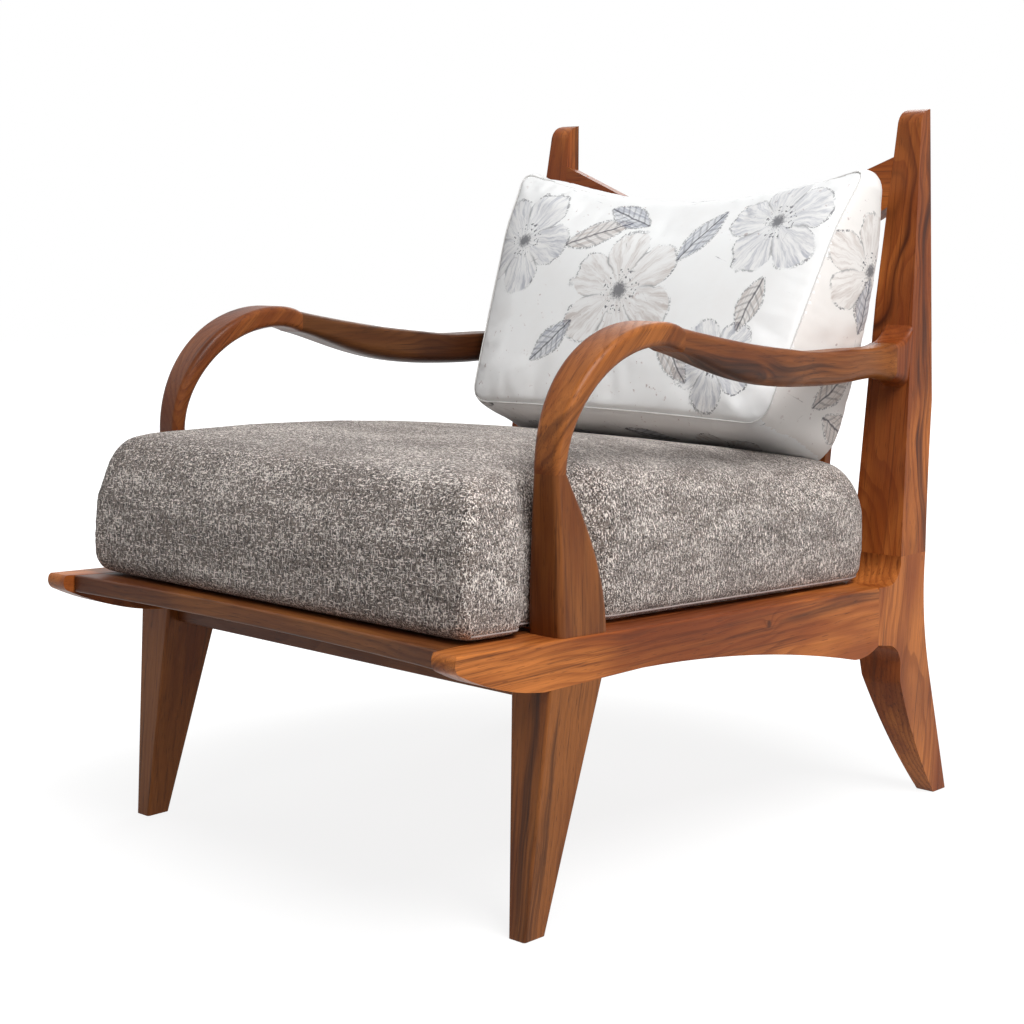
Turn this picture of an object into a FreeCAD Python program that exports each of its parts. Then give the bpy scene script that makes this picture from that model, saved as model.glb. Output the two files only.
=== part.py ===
import FreeCAD, Part
import math
import os

# Lounge chair with a solid wood frame and two loose cushions.
# Millimetres. +Z is up, the chair faces -Y, and the origin is on the floor
# under the middle of the chair. Right is +X. Depths are measured backwards
# from the tips of the side rails, heights from the floor.

doc = FreeCAD.newDocument("lounge_chair")
sheet = doc.addObject("Spreadsheet::Sheet", "Sizes")

driving_sizes = (
    ("overall_width", 652, "outer faces of the side rails"),
    ("overall_depth", 854, "rail tip to heel of the rear leg"),
    ("overall_height", 830, "floor to the top of the back posts"),
    ("seat_slope", 2.35, "degrees that the rail tops fall towards the back"),
    ("rail_thickness", 46, "side rail across"),
    ("rail_tip_height", 297.5, "top of the side rail at its tip"),
    ("rail_tip_depth", 15, "depth of the blunt tip"),
    ("rail_underside_height", 245, "flat under the rail where the leg stands"),
    ("rail_length", 698, "tip to the joint with the rear leg"),
    ("rail_belly_start", 267, "end of the flat under the rail"),
    ("rail_belly_drop", 53.5, "fall of the belly to its lowest point"),
    ("rail_belly_rise", 9.5, "how far the belly arches above its chord"),
    ("rail_belly_length", 383, "length of the arched belly"),
    ("rail_tip_taper", 15, "inside taper of the rail at its tip"),
    ("rail_taper_length", 87, "length of that inside taper"),
    ("edge_round", 3, "rounding of the long edges of the frame"),
    ("leg_width", 52, "front leg across, at the top"),
    ("leg_foot_width", 22, "front leg across, at the floor"),
    ("leg_foot_inset", 14, "outer side of the foot inside the rail"),
    ("leg_top_start", 129, "front of the front leg at its top"),
    ("leg_top_length", 77, "front leg from front to back, at the top"),
    ("leg_foot_start", 108, "front of the front leg at the floor"),
    ("leg_foot_length", 30, "front leg from front to back, at the floor"),
    ("board_thickness", 19, "front board"),
    ("board_start", 12, "ends of the front board's edge, behind the rail tips"),
    ("board_hollow", 16, "how far the edge is hollowed in its middle"),
    ("board_end", 170, "back of the front board"),
    ("board_gap", 0.2, "gap beside the boards and slats set between the rails"),
    ("apron_start", 142, "front of the apron"),
    ("apron_thickness", 22, "apron"),
    ("apron_bottom_height", 228, "underside of the apron"),
    ("post_width", 68, "rear leg and foot of the back post across"),
    ("seam_height", 300, "joint between rear leg and back post"),
    ("spur_top_height", 268, "top of the rear leg's spur at the rail"),
    ("spur_bottom_height", 201, "underside of the spur at the rail"),
    ("post_foot_start", 744, "front of the back post at the seam"),
    ("post_foot_length", 54, "back post from front to back at the seam"),
    ("post_rake", 8.3, "degrees that the post leans back"),
    ("post_top_length", 19, "back post from front to back at the top"),
    ("post_knee_height", 480, "height of the bend in the post's back"),
    ("post_knee_length", 53, "back post from front to back at the bend"),
    ("post_top_inset", 28, "outer face of the post's top inside the rail"),
    ("post_lean_height", 600, "height where the post's inner face starts to lean outwards"),
    ("post_lean", 9, "how far that face leans outwards up to the top"),
    ("post_top_round", 20, "rounding of the post's front top corner"),
    ("heel_length", 27, "rear leg from front to back at the floor"),
    ("heel_inset", 2, "outer side of the heel inside the rail"),
    ("heel_width", 23, "rear leg across, at the floor"),
    ("rear_taper_height", 172, "height below which the rear leg's outer face tapers"),
    ("rear_inner_taper_height", 226, "height below which the rear leg's inner face tapers"),
    ("arm_foot_start", 148, "front of the arm post at the rail"),
    ("arm_foot_length", 70, "arm post from front to back at the rail"),
    ("arm_foot_width", 46, "arm post across at the rail"),
    ("arm_foot_inset", 3, "outer face of the arm post inside the rail"),
    ("arm_waist_height", 449, "joint between arm post and arch"),
    ("arm_waist_length", 18, "arm post from front to back at the waist"),
    ("arm_waist_width", 34, "arm post across at the waist"),
    ("arch_reach", 154, "waist front to crown of the arch, along the chair"),
    ("arch_rise", 143, "waist to the top of the arch"),
    ("arch_crown_thickness", 25, "arch at its crown"),
    ("arch_crown_width", 48, "arch across at its crown"),
    ("arm_seam_after_crown", 36, "crown to the joint with the arm rest"),
    ("arm_top_height", 547, "top of the arm rest near the back post"),
    ("arm_belly_thickness", 42, "arm rest where it is deepest"),
    ("arm_underside_round", 16, "rounding of the arm rest's underside there"),
    ("arm_rear_thickness", 36, "arm rest near the back post"),
    ("arm_rear_width", 36, "arm rest across near the back post"),
    ("arm_end_width", 42, "arm rest across where it meets the stub"),
    ("arm_flare", 4, "how far the arm's end swells up and down"),
    ("stub_length", 28, "stub of the back post in front of the post"),
    ("crest_top_height", 771, "top of the crest rail at the posts"),
    ("crest_dip", 78, "dip of the crest rail's top in the middle"),
    ("crest_end_depth", 61, "crest rail top to bottom at the posts"),
    ("crest_middle_depth", 58, "crest rail top to bottom in the middle"),
    ("crest_thickness", 23, "crest rail"),
    ("lower_rail_height", 48, "lower back rail top to bottom"),
    ("lower_rail_thickness", 22, "lower back rail"),
    ("back_slat_width", 46, "back slat across"),
    ("back_slat_thickness", 12, "back slat"),
    ("back_slat_side", 142, "middle of the outer back slats in from the chair's sides"),
    ("rear_rail_thickness", 24, "rear seat rail"),
    ("rear_rail_depth", 42, "rear seat rail top to bottom"),
    ("seat_slat_width", 76, "seat slat along the chair"),
    ("seat_slat_thickness", 16, "seat slat"),
    ("seat_slat_pitch", 104, "seat slat to seat slat"),
    ("ledger_width", 22, "ledger under the slats, across"),
    ("ledger_depth", 26, "ledger top to bottom"),
    ("dowel_diameter", 10, "dowels of the frame"),
    ("arm_dowel_diameter", 8, "dowels of the arms"),
    ("dowel_length", 50, "dowels of the frame"),
    ("dowel_fit", 0.1, "gap around a dowel"),
    ("screw_diameter", 4, "screw shank"),
    ("screw_head_diameter", 8, "screw head"),
    ("slat_screw_length", 30, "screws through the slats"),
    ("ledger_screw_length", 45, "screws through the ledgers"),
    ("soft_gap", 0.4, "room between a cushion and what is beside it"),
    ("seat_cushion_front", 41, "front of the seat cushion behind the rail tips"),
    ("seat_cushion_length", 697, "seat cushion from front to back"),
    ("seat_cushion_edge", 151, "seat cushion where its top rounds over"),
    ("seat_cushion_crown", 15, "rise of the seat cushion's top in its middle"),
    ("seat_cushion_pull", 5, "how far the cushion's front pulls in"),
    ("seat_cushion_bulge", 22, "swell of its sides before and behind the arm posts"),
    ("seat_bulge_run", 48, "length over which the sides swell out"),
    ("seat_front_round", 22, "upright front corners of the seat cushion"),
    ("seat_back_round", 96, "upright back corners of the seat cushion"),
    ("seat_edge_round", 52, "rounding of the top edge of the seat cushion"),
    ("seat_edge_over", 3, "how far the roundings start outside the cushion's sides"),
    ("seat_foot_round", 14, "rounding of the bottom edge of the seat cushion"),
    ("cover_thickness", 2, "cushion covers"),
    ("back_cushion_side", 56, "top of the back cushion in from the chair's sides"),
    ("back_cushion_foot_side", 94, "bottom of the back cushion in from the chair's sides"),
    ("back_cushion_length", 348, "back of the back cushion along the slats"),
    ("back_cushion_foot", 153, "back cushion through its bottom"),
    ("back_cushion_foot_rise", 41, "rise of its bottom from back to front"),
    ("back_cushion_head", 64, "back cushion through its top"),
    ("back_cushion_sag", 46, "sag of the back cushion's top edge"),
    ("back_cushion_crown", 14, "swell of the back cushion's face"),
    ("back_cushion_swell", 23, "swell of its back towards the slats"),
    ("back_corner_round", 22, "rounding of the back cushion's corners"),
    ("zip_length", 380, "cushion zips"),
    ("zip_width", 9, "cushion zips"),
    ("zip_thickness", 1.6, "cushion zips"),
)
for row, (alias, value, meaning) in enumerate(driving_sizes, start=1):
    sheet.set("A%d" % row, meaning)
    sheet.set("B%d" % row, str(value))
    sheet.setAlias("B%d" % row, alias)
doc.recompute()


def size(alias):
    return float(sheet.get(alias))


half_width = size("overall_width") / 2
half_depth = size("overall_depth") / 2
rail_inner = half_width - size("rail_thickness")
leg_inner = half_width - size("leg_width")
post_inner = half_width - size("post_width")
slope = math.tan(math.radians(size("seat_slope")))
rake = math.tan(math.radians(size("post_rake")))
X_DIRECTION = FreeCAD.Vector(1, 0, 0)
Y_DIRECTION = FreeCAD.Vector(0, 1, 0)
Z_DIRECTION = FreeCAD.Vector(0, 0, 1)
node_objects = []


def along(depth):
    """Y of a depth behind the rail tips."""
    return depth - half_depth


def rail_top(y):
    """Height of the rail tops, and of the seat, at y."""
    return size("rail_tip_height") - slope * (y + half_depth)


def post_front(z):
    """Y of the straight front of the back posts at height z."""
    return along(size("post_foot_start")) + rake * (z - size("seam_height"))


def post_inner_at(z):
    """Inner face of the back post at height z."""
    risen = max(z - size("post_lean_height"), 0)
    return post_inner + size("post_lean") * risen / (size("overall_height") - size("post_lean_height"))


def keep(thing, label):
    """Gives a finished piece its node name."""
    thing.Label = label
    node_objects.append(thing)
    return thing


def origin_plane(body, role):
    for feature in body.Origin.OriginFeatures:
        if feature.Role == role:
            return feature
    raise ValueError(role)


def line(start, end):
    return Part.LineSegment(FreeCAD.Vector(*start, 0), FreeCAD.Vector(*end, 0))


def arc(start, middle, end):
    return Part.Arc(FreeCAD.Vector(*start, 0), FreeCAD.Vector(*middle, 0), FreeCAD.Vector(*end, 0))


def outline(first, *steps):
    """Closed outline: each step is an end point, or a middle and an end point of an arc."""
    edges = []
    here = first
    for step in steps:
        if len(step) == 2 and isinstance(step[0], tuple):
            edges.append(arc(here, step[0], step[1]))
            here = step[1]
        else:
            edges.append(line(here, step))
            here = step
    if math.dist(here, first) > 0.001:
        edges.append(line(here, first))
    return edges


def new_body(name):
    return doc.addObject("PartDesign::Body", name)


def sketch_on(body, name, role, edges):
    sketch = body.newObject("Sketcher::SketchObject", name)
    sketch.AttachmentSupport = [(origin_plane(body, role), "")]
    sketch.MapMode = "FlatFace"
    sketch.addGeometry(edges, False)
    return sketch


def pad(body, name, sketch, length_expression, midplane=False):
    feature = body.newObject("PartDesign::Pad", name)
    feature.Profile = sketch
    feature.Midplane = midplane
    feature.setExpression("Length", length_expression)
    sketch.Visibility = False
    doc.recompute()
    return feature


def pocket_through(body, name, sketch):
    """Cuts the sketch through the whole body, both ways."""
    feature = body.newObject("PartDesign::Pocket", name)
    feature.Profile = sketch
    feature.Type = "ThroughAll"
    feature.Midplane = True
    before = body.Shape.Volume
    doc.recompute()
    if not feature.Shape.Volume < before:
        raise ValueError(name + " cuts nothing")
    return feature


def round_edges(body, name, radius_expression, wanted):
    """Rounds the edges of the body's tip that wanted() picks."""
    base = body.Tip
    names = []
    for number, edge in enumerate(base.Shape.Edges, start=1):
        if wanted(edge):
            names.append("Edge%d" % number)
    feature = body.newObject("PartDesign::Fillet", name)
    feature.Base = (base, names)
    feature.setExpression("Radius", radius_expression)
    doc.recompute()
    return feature


def mirrored(source, name):
    """The same piece on the other side of the chair."""
    twin = doc.addObject("Part::Mirroring", name)
    twin.Source = source
    twin.Normal = X_DIRECTION
    return twin


def cut_away(name, base, tool):
    result = doc.addObject("Part::Cut", name)
    result.Base = base
    result.Tool = tool
    return result


def group(name, members):
    result = doc.addObject("Part::Compound", name)
    result.Links = members
    return result


def solid_feature(name, shape):
    feature = doc.addObject("Part::Feature", name)
    feature.Shape = shape
    return feature


def rounded_wire(centre, across, upright, width, height, radius, low_radius=None):
    """Rectangle with quarter-round corners, around centre, in the plane of two unit vectors."""
    corners = (
        (1, 1, radius),
        (-1, 1, radius),
        (-1, -1, low_radius or radius),
        (1, -1, low_radius or radius),
    )
    edges = []
    ends = []
    for sign_x, sign_y, radius in corners:
        diagonal = radius * math.sqrt(0.5)
        middle = centre + across * (sign_x * (width / 2 - radius))
        middle = middle + upright * (sign_y * (height / 2 - radius))
        side = middle + across * (sign_x * radius)
        top = middle + upright * (sign_y * radius)
        bulge = middle + across * (sign_x * diagonal) + upright * (sign_y * diagonal)
        if sign_x * sign_y > 0:
            ends.append((side, bulge, top))
        else:
            ends.append((top, bulge, side))
    for index, (start, bulge, end) in enumerate(ends):
        edges.append(Part.Arc(start, bulge, end).toShape())
        following = ends[(index + 1) % len(ends)][0]
        edges.append(Part.LineSegment(end, following).toShape())
    return Part.Wire(edges)


def rod(name, diameter_expression, length_expression, centre, direction):
    """Round rod, centred at centre, along direction."""
    cylinder = doc.addObject("Part::Cylinder", name)
    cylinder.setExpression("Radius", diameter_expression + " / 2")
    cylinder.setExpression("Height", length_expression)
    doc.recompute()
    start = FreeCAD.Vector(centre) - FreeCAD.Vector(direction) * (cylinder.Height.Value / 2)
    cylinder.Placement = FreeCAD.Placement(start, FreeCAD.Rotation(Z_DIRECTION, direction))
    return cylinder


class Dowels:
    """Dowels of one kind of joint on both sides, with the holes that they sit in."""

    def __init__(self, label, alias, direction, centres):
        self.label = label
        pins = []
        holes = []
        for number, centre in enumerate(both_sides(centres), start=1):
            name = "%s_%d" % (label, number)
            pins.append(rod(name, "Sizes." + alias, "Sizes.dowel_length", centre, direction))
            wide = "(Sizes.%s + 2 * Sizes.dowel_fit)" % alias
            deep = "Sizes.dowel_length + 4 * Sizes.dowel_fit"
            holes.append(rod(name + "_hole", wide, deep, centre, direction))
        keep(group(label, pins), label)
        self.holes = group(label + "_holes", holes)


def both_sides(centres):
    """Points on the right and their twins on the left."""
    twins = []
    for x, y, z in centres:
        twins.append(FreeCAD.Vector(x, y, z))
        twins.append(FreeCAD.Vector(-x, y, z))
    return twins


def bored(label, base, *fixings):
    """The piece with the holes of its dowels and screws, kept under label."""
    tools = [fixing.holes for fixing in fixings]
    if len(tools) == 1:
        tool = tools[0]
    else:
        tool = group(label + "_bores", tools)
    return keep(cut_away(label, base, tool), label)


# Joints: where the dowels sit
rail_centre = half_width - size("rail_thickness") / 2
leg_centre_y = along(size("leg_top_start") + size("leg_top_length") / 2)
leg_spread = size("leg_top_length") / 4
leg_dowels = Dowels("front_leg_dowels", "dowel_diameter", Z_DIRECTION, [
    (rail_centre, leg_centre_y - leg_spread, size("rail_underside_height")),
    (rail_centre, leg_centre_y + leg_spread, size("rail_underside_height")),
])
joint_y = along(size("rail_length"))
spur_middle = (size("spur_top_height") + size("spur_bottom_height")) / 2
spur_spread = (size("spur_top_height") - size("spur_bottom_height")) / 4
rail_dowels = Dowels("rail_to_rear_leg_dowels", "dowel_diameter", Y_DIRECTION, [
    (rail_centre, joint_y, spur_middle - spur_spread),
    (rail_centre, joint_y, spur_middle + spur_spread),
])
seam_centre_y = along(size("post_foot_start") + size("post_foot_length") / 2)
seam_spread = size("post_foot_length") / 4
post_dowels = Dowels("post_to_leg_dowels", "dowel_diameter", Z_DIRECTION, [
    (rail_centre, seam_centre_y - seam_spread, size("seam_height")),
    (rail_centre, seam_centre_y + seam_spread, size("seam_height")),
])
arm_foot_centre_y = along(size("arm_foot_start") + size("arm_foot_length") / 2)
arm_foot_spread = size("arm_foot_length") / 5
arm_foot_dowels = Dowels("arm_post_dowels", "arm_dowel_diameter", Z_DIRECTION, [
    (rail_centre, arm_foot_centre_y - arm_foot_spread, rail_top(arm_foot_centre_y - arm_foot_spread)),
    (rail_centre, arm_foot_centre_y + arm_foot_spread, rail_top(arm_foot_centre_y + arm_foot_spread)),
])
arm_outer_x = half_width - size("arm_foot_inset")
waist_x = arm_outer_x - size("arm_foot_width") / 2
waist_y = along(size("arm_foot_start") + size("arm_waist_length") / 2)
waist_dowels = Dowels("arm_waist_dowels", "arm_dowel_diameter", Z_DIRECTION, [
    (waist_x, waist_y, size("arm_waist_height")),
])

# Arm: a quarter of an ellipse from the waist to the crown, then a falling curve to the stub
crown_y = along(size("arm_foot_start") + size("arch_reach"))
crown_z = size("arm_waist_height") + size("arch_rise")
arm_seam_y = crown_y + size("arm_seam_after_crown")
stub_z = size("arm_top_height") - size("arm_rear_thickness") / 2
stub_y = post_front(stub_z) - size("stub_length")
stub_outer_x = half_width - size("post_top_inset") * (
    (stub_z - size("seam_height")) / (size("overall_height") - size("seam_height")))
stub_x = stub_outer_x - size("arm_end_width") / 2
arm_run = stub_y - crown_y
crown_x = arm_outer_x - size("arch_crown_width") / 2
arm_corner_round = 7


def ease(share):
    """Smooth step from 0 to 1."""
    share = min(max(share, 0), 1)
    return share * share * (3 - 2 * share)


def arm_top(y):
    share = (y - crown_y) / arm_run
    fall = max(1 - share / 0.75, 0) ** 1.6
    return size("arm_top_height") + (crown_z - size("arm_top_height")) * fall


def arm_thickness(y):
    share = (y - crown_y) / arm_run
    swell = ease((share - 0.05) / 0.36) * (size("arm_belly_thickness") - size("arch_crown_thickness"))
    fall = ease((share - 0.5) / 0.5) * (size("arm_belly_thickness") - size("arm_rear_thickness"))
    return size("arch_crown_thickness") + swell - fall


def arm_underside_round(y):
    """The underside is rounder where the arm is deep."""
    depth = arm_thickness(y) - size("arch_crown_thickness")
    swell = size("arm_belly_thickness") - size("arch_crown_thickness")
    return arm_corner_round + depth / swell * (size("arm_underside_round") - arm_corner_round)


def arm_width(y):
    share = ease((y - crown_y) / arm_run)
    return size("arch_crown_width") + share * (size("arm_rear_width") - size("arch_crown_width"))


def arm_middle_x(y):
    """The arm draws inwards to the inner side of the stub."""
    share = ease((y - crown_y) / arm_run)
    rear_x = stub_x - (size("arm_end_width") - size("arm_rear_width")) / 2
    return crown_x + share * (rear_x - crown_x)


def arm_section(y, width=None, flare=0, middle_x=None):
    """Cross-section of the arm rest in the upright plane at y."""
    thickness = arm_thickness(y) + 2 * flare
    centre = FreeCAD.Vector(middle_x or arm_middle_x(y), y, arm_top(y) + flare - thickness / 2)
    return rounded_wire(centre, X_DIRECTION, Z_DIRECTION, width or arm_width(y), thickness,
                        arm_corner_round, arm_underside_round(y))


def arch_section(degrees):
    """Cross-section of the arch, square to its curve."""
    angle = math.radians(degrees)
    share = math.sin(angle)
    thickness_reach = size("arm_waist_length")
    thickness_rise = size("arch_crown_thickness")
    outer = FreeCAD.Vector(0, crown_y - size("arch_reach") * math.cos(angle),
                           size("arm_waist_height") + size("arch_rise") * share)
    inner = FreeCAD.Vector(0, crown_y - (size("arch_reach") - thickness_reach) * math.cos(angle),
                           size("arm_waist_height") + (size("arch_rise") - thickness_rise) * share)
    width = size("arm_waist_width") + ease(share) * (size("arch_crown_width") - size("arm_waist_width"))
    middle_x = waist_x + ease(share) * (crown_x - waist_x)
    centre = (outer + inner) * 0.5 + X_DIRECTION * middle_x
    upright = outer - inner
    thickness = upright.Length
    upright.normalize()
    return rounded_wire(centre, X_DIRECTION, upright, width, thickness, arm_corner_round)


def arm_post_section(share):
    """Cross-section of the arm post: share is 0 at the rail and 1 at the waist."""
    front = along(size("arm_foot_start"))
    flare = math.cos(math.radians(90 * share))
    length = size("arm_waist_length") + flare * (size("arm_foot_length") - size("arm_waist_length"))
    width = size("arm_waist_width") + flare * (size("arm_foot_width") - size("arm_waist_width"))
    foot_z = rail_top(front + length / 2)
    height = foot_z + share * (size("arm_waist_height") - foot_z)
    backwards = FreeCAD.Vector(0, 1, -slope * (1 - share))
    centre = FreeCAD.Vector(waist_x, front + length / 2, height)
    stretch = backwards.Length
    backwards.normalize()
    radius = min(arm_corner_round, length / 2 - 1)
    return rounded_wire(centre, X_DIRECTION, backwards, width, length * stretch, radius)


arm_seam_z = arm_top(arm_seam_y) - arm_thickness(arm_seam_y) / 2
arm_seam_dowels = Dowels("arm_seam_dowels", "arm_dowel_diameter", Y_DIRECTION, [
    (arm_middle_x(arm_seam_y), arm_seam_y, arm_seam_z),
])
stub_dowels = Dowels("arm_end_dowels", "arm_dowel_diameter", Y_DIRECTION, [
    (stub_x, stub_y, stub_z),
])
crest_y = post_front(size("crest_top_height") - size("crest_end_depth") / 2) + size("crest_thickness") / 2
crest_dowel_z = size("crest_top_height") - size("crest_end_depth") / 2
crest_spread = size("crest_end_depth") / 4
cross_x = post_inner - 4
crest_cross_x = post_inner_at(crest_dowel_z) - 4
crest_dowels = Dowels("crest_dowels", "arm_dowel_diameter", X_DIRECTION, [
    (crest_cross_x, crest_y - rake * crest_spread, crest_dowel_z - crest_spread),
    (crest_cross_x, crest_y + rake * crest_spread, crest_dowel_z + crest_spread),
])
lower_rail_z = size("seam_height") + size("lower_rail_height") / 2 + 2
lower_rail_y = post_front(lower_rail_z) + size("lower_rail_thickness") / 2
lower_rail_dowels = Dowels("lower_rail_dowels", "arm_dowel_diameter", X_DIRECTION, [
    (cross_x, lower_rail_y, lower_rail_z),
])
rear_rail_y = along(size("post_foot_start") + size("rear_rail_thickness") / 2)
rear_rail_top_z = rail_top(rear_rail_y + size("rear_rail_thickness") / 2)
rear_rail_z = rear_rail_top_z - size("rear_rail_depth") / 2
rear_rail_spread = size("rear_rail_depth") / 4
rear_rail_dowels = Dowels("rear_rail_dowels", "dowel_diameter", X_DIRECTION, [
    (cross_x, rear_rail_y, rear_rail_z - rear_rail_spread),
    (cross_x, rear_rail_y, rear_rail_z + rear_rail_spread),
])

class Screws:
    """Countersunk screws and their holes: heads are the middles of the head tops."""

    def __init__(self, label, length_alias, direction, heads):
        pins = []
        holes = []
        direction = FreeCAD.Vector(direction)
        direction.normalize()
        for number, head in enumerate(heads, start=1):
            head_radius = size("screw_head_diameter") / 2
            shank_radius = size("screw_diameter") / 2
            cone_length = head_radius - shank_radius
            length = size(length_alias)
            shank = Part.makeCylinder(shank_radius, length, head, direction)
            cone = Part.makeCone(head_radius, shank_radius, cone_length, head, direction)
            pins.append(solid_feature("%s_%d" % (label, number), shank.fuse(cone).removeSplitter()))
            room = size("dowel_fit")
            wide_shank = Part.makeCylinder(shank_radius + room, length + 2 * room, head, direction)
            wide_cone = Part.makeCone(head_radius + room, shank_radius + room, cone_length, head, direction)
            holes.append(solid_feature("%s_%d_hole" % (label, number), wide_shank.fuse(wide_cone)))
        keep(group(label, pins), label)
        self.holes = group(label + "_holes", holes)


# Ledgers on the rails' inner faces, and the screws that hold them
seat_turn = FreeCAD.Rotation(X_DIRECTION, -size("seat_slope"))


def on_seat(drop):
    """Placement that lays a flat outline in the seat plane, its top drop below the rail tops."""
    lift = FreeCAD.Vector(0, 0, rail_top(0)) - seat_turn.multVec(FreeCAD.Vector(0, 0, drop))
    return FreeCAD.Placement(lift, seat_turn)


board_back = along(size("board_end"))
seat_drop = size("seat_slat_thickness")
ledger_start = board_back + 2
ledger_end = joint_y - 2
ledger = doc.addObject("Part::Box", "Ledger")
ledger.setExpression("Length", "Sizes.ledger_width")
ledger.Width = ledger_end - ledger_start
ledger.setExpression("Height", "Sizes.ledger_depth")
ledger_place = on_seat(seat_drop + size("ledger_depth"))
ledger_corner = FreeCAD.Vector(rail_inner - size("ledger_width"), ledger_start, 0)
ledger.Placement = FreeCAD.Placement(ledger_place.multVec(ledger_corner), seat_turn)
ledger_middle = on_seat(seat_drop + size("ledger_depth") / 2)
ledger_heads = []
for share in (0.05, 0.46, 0.86):
    spot_y = ledger_start + share * (ledger_end - ledger_start)
    spot = FreeCAD.Vector(rail_inner - size("ledger_width"), spot_y, 0)
    ledger_heads.append(ledger_middle.multVec(spot))
ledger_screws_right = Screws("ledger_screws_right", "ledger_screw_length", X_DIRECTION, ledger_heads)
left_heads = [FreeCAD.Vector(-head.x, head.y, head.z) for head in ledger_heads]
ledger_screws_left = Screws("ledger_screws_left", "ledger_screw_length", X_DIRECTION * -1, left_heads)

# Side rails: boat-shaped boards, standing on edge
tip_top = (along(4), rail_top(along(4)))
tip_low_z = size("rail_tip_height") - size("rail_tip_depth")
flat_start = along(size("leg_top_start") - 8)
flat_end = along(size("rail_belly_start"))
belly_end = along(size("rail_belly_start") + size("rail_belly_length"))
flat_z = size("rail_underside_height")
belly_z = flat_z - size("rail_belly_drop")
belly_middle = ((flat_end + belly_end) / 2, (flat_z + belly_z) / 2 + size("rail_belly_rise"))
nose_chord = ((along(0) + 8 + flat_start) / 2, (tip_low_z + flat_z) / 2)
hook = ((belly_end + joint_y) / 2, belly_z + 1)
rail_body = new_body("SideRailBody")
rail_outline = outline(
    tip_top,
    ((along(0) + 0.5, tip_low_z + 7), (along(0) + 8, tip_low_z - 4)),
    ((nose_chord[0] - 2, nose_chord[1] - 7), (flat_start, flat_z)),
    (flat_end, flat_z),
    (belly_middle, (belly_end, belly_z)),
    (hook, (joint_y, size("spur_bottom_height"))),
    (joint_y, rail_top(joint_y)),
)
rail_sketch = sketch_on(rail_body, "RailOutline", "YZ_Plane", rail_outline)
pad(rail_body, "RailBoard", rail_sketch, "Sizes.rail_thickness")
taper_end = along(size("rail_taper_length"))
taper_plan = outline(
    (0, taper_end),
    (size("rail_tip_taper"), along(0)),
    (size("rail_tip_taper"), along(-20)),
    (-20, along(-20)),
    (-20, taper_end),
)
taper_sketch = sketch_on(rail_body, "NoseTaper", "XY_Plane", taper_plan)
pocket_through(rail_body, "NoseTaperCut", taper_sketch)


def rail_top_edge(edge):
    box = edge.BoundBox
    outer = box.XMin > size("rail_thickness") - 0.01
    return outer and box.YLength > size("rail_length") / 2 and box.ZMax > size("rail_tip_height") - 1


round_edges(rail_body, "RailRounding", "Sizes.edge_round", rail_top_edge)
rail_body.setExpression("Placement.Base.x", "Sizes.overall_width / 2 - Sizes.rail_thickness")
doc.recompute()
rail_fixings = (leg_dowels, rail_dowels, arm_foot_dowels)
bored("side_rail_right", rail_body, *rail_fixings, ledger_screws_right)
bored("side_rail_left", mirrored(rail_body, "SideRailLeft"), *rail_fixings, ledger_screws_left)


# Front legs: tapered on all four faces
def leg_section(inner_x, outer_x, front_y, back_y, height):
    centre = FreeCAD.Vector((inner_x + outer_x) / 2, (front_y + back_y) / 2, height)
    width = outer_x - inner_x
    return rounded_wire(centre, X_DIRECTION, Y_DIRECTION, width, back_y - front_y, size("edge_round"))


foot_outer = half_width - size("leg_foot_inset")
leg_foot = leg_section(foot_outer - size("leg_foot_width"), foot_outer, along(size("leg_foot_start")),
                       along(size("leg_foot_start") + size("leg_foot_length")), 0)
leg_head = leg_section(leg_inner, half_width, along(size("leg_top_start")),
                       along(size("leg_top_start") + size("leg_top_length")), flat_z)
front_leg = solid_feature("FrontLeg", Part.makeLoft([leg_foot, leg_head], True, True))
bored("front_leg_right", front_leg, leg_dowels)
bored("front_leg_left", mirrored(front_leg, "FrontLegLeft"), leg_dowels)

# Rear legs: a spur towards the rail, then a leg that sweeps back to the heel
heel_back = along(size("overall_depth"))
heel_front = heel_back - size("heel_length")
seam_front = along(size("post_foot_start"))
seam_back = seam_front + size("post_foot_length")
spur_low = size("spur_bottom_height")
shin_y = seam_front + 2
shin_z = spur_low - 50
sweep_middle = ((shin_y + heel_front) / 2 - 7, shin_z / 2)
calf_z = size("seam_height") / 2
rear_leg_body = new_body("RearLegBody")
rear_leg_outline = outline(
    (joint_y, spur_low),
    (shin_y - 24, spur_low - 4),
    ((shin_y - 7, spur_low - 13), (shin_y, spur_low - 28)),
    (shin_y, shin_z),
    (sweep_middle, (heel_front, 0)),
    (heel_back, 0),
    (seam_back + 13, calf_z),
    ((seam_back - 1, calf_z + 75), (seam_back, size("seam_height"))),
    (seam_front, size("seam_height")),
    ((seam_front - 5, rail_top(joint_y) + 10), (joint_y + 22, rail_top(joint_y + 22))),
    (joint_y, rail_top(joint_y)),
)
rear_leg_sketch = sketch_on(rear_leg_body, "RearLegOutline", "YZ_Plane", rear_leg_outline)
pad(rear_leg_body, "RearLegBoard", rear_leg_sketch, "Sizes.post_width")
heel_outer = size("post_width") - size("heel_inset")
heel_inner = heel_outer - size("heel_width")
taper_z = size("rear_taper_height")
inner_taper_z = size("rear_inner_taper_height")
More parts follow.
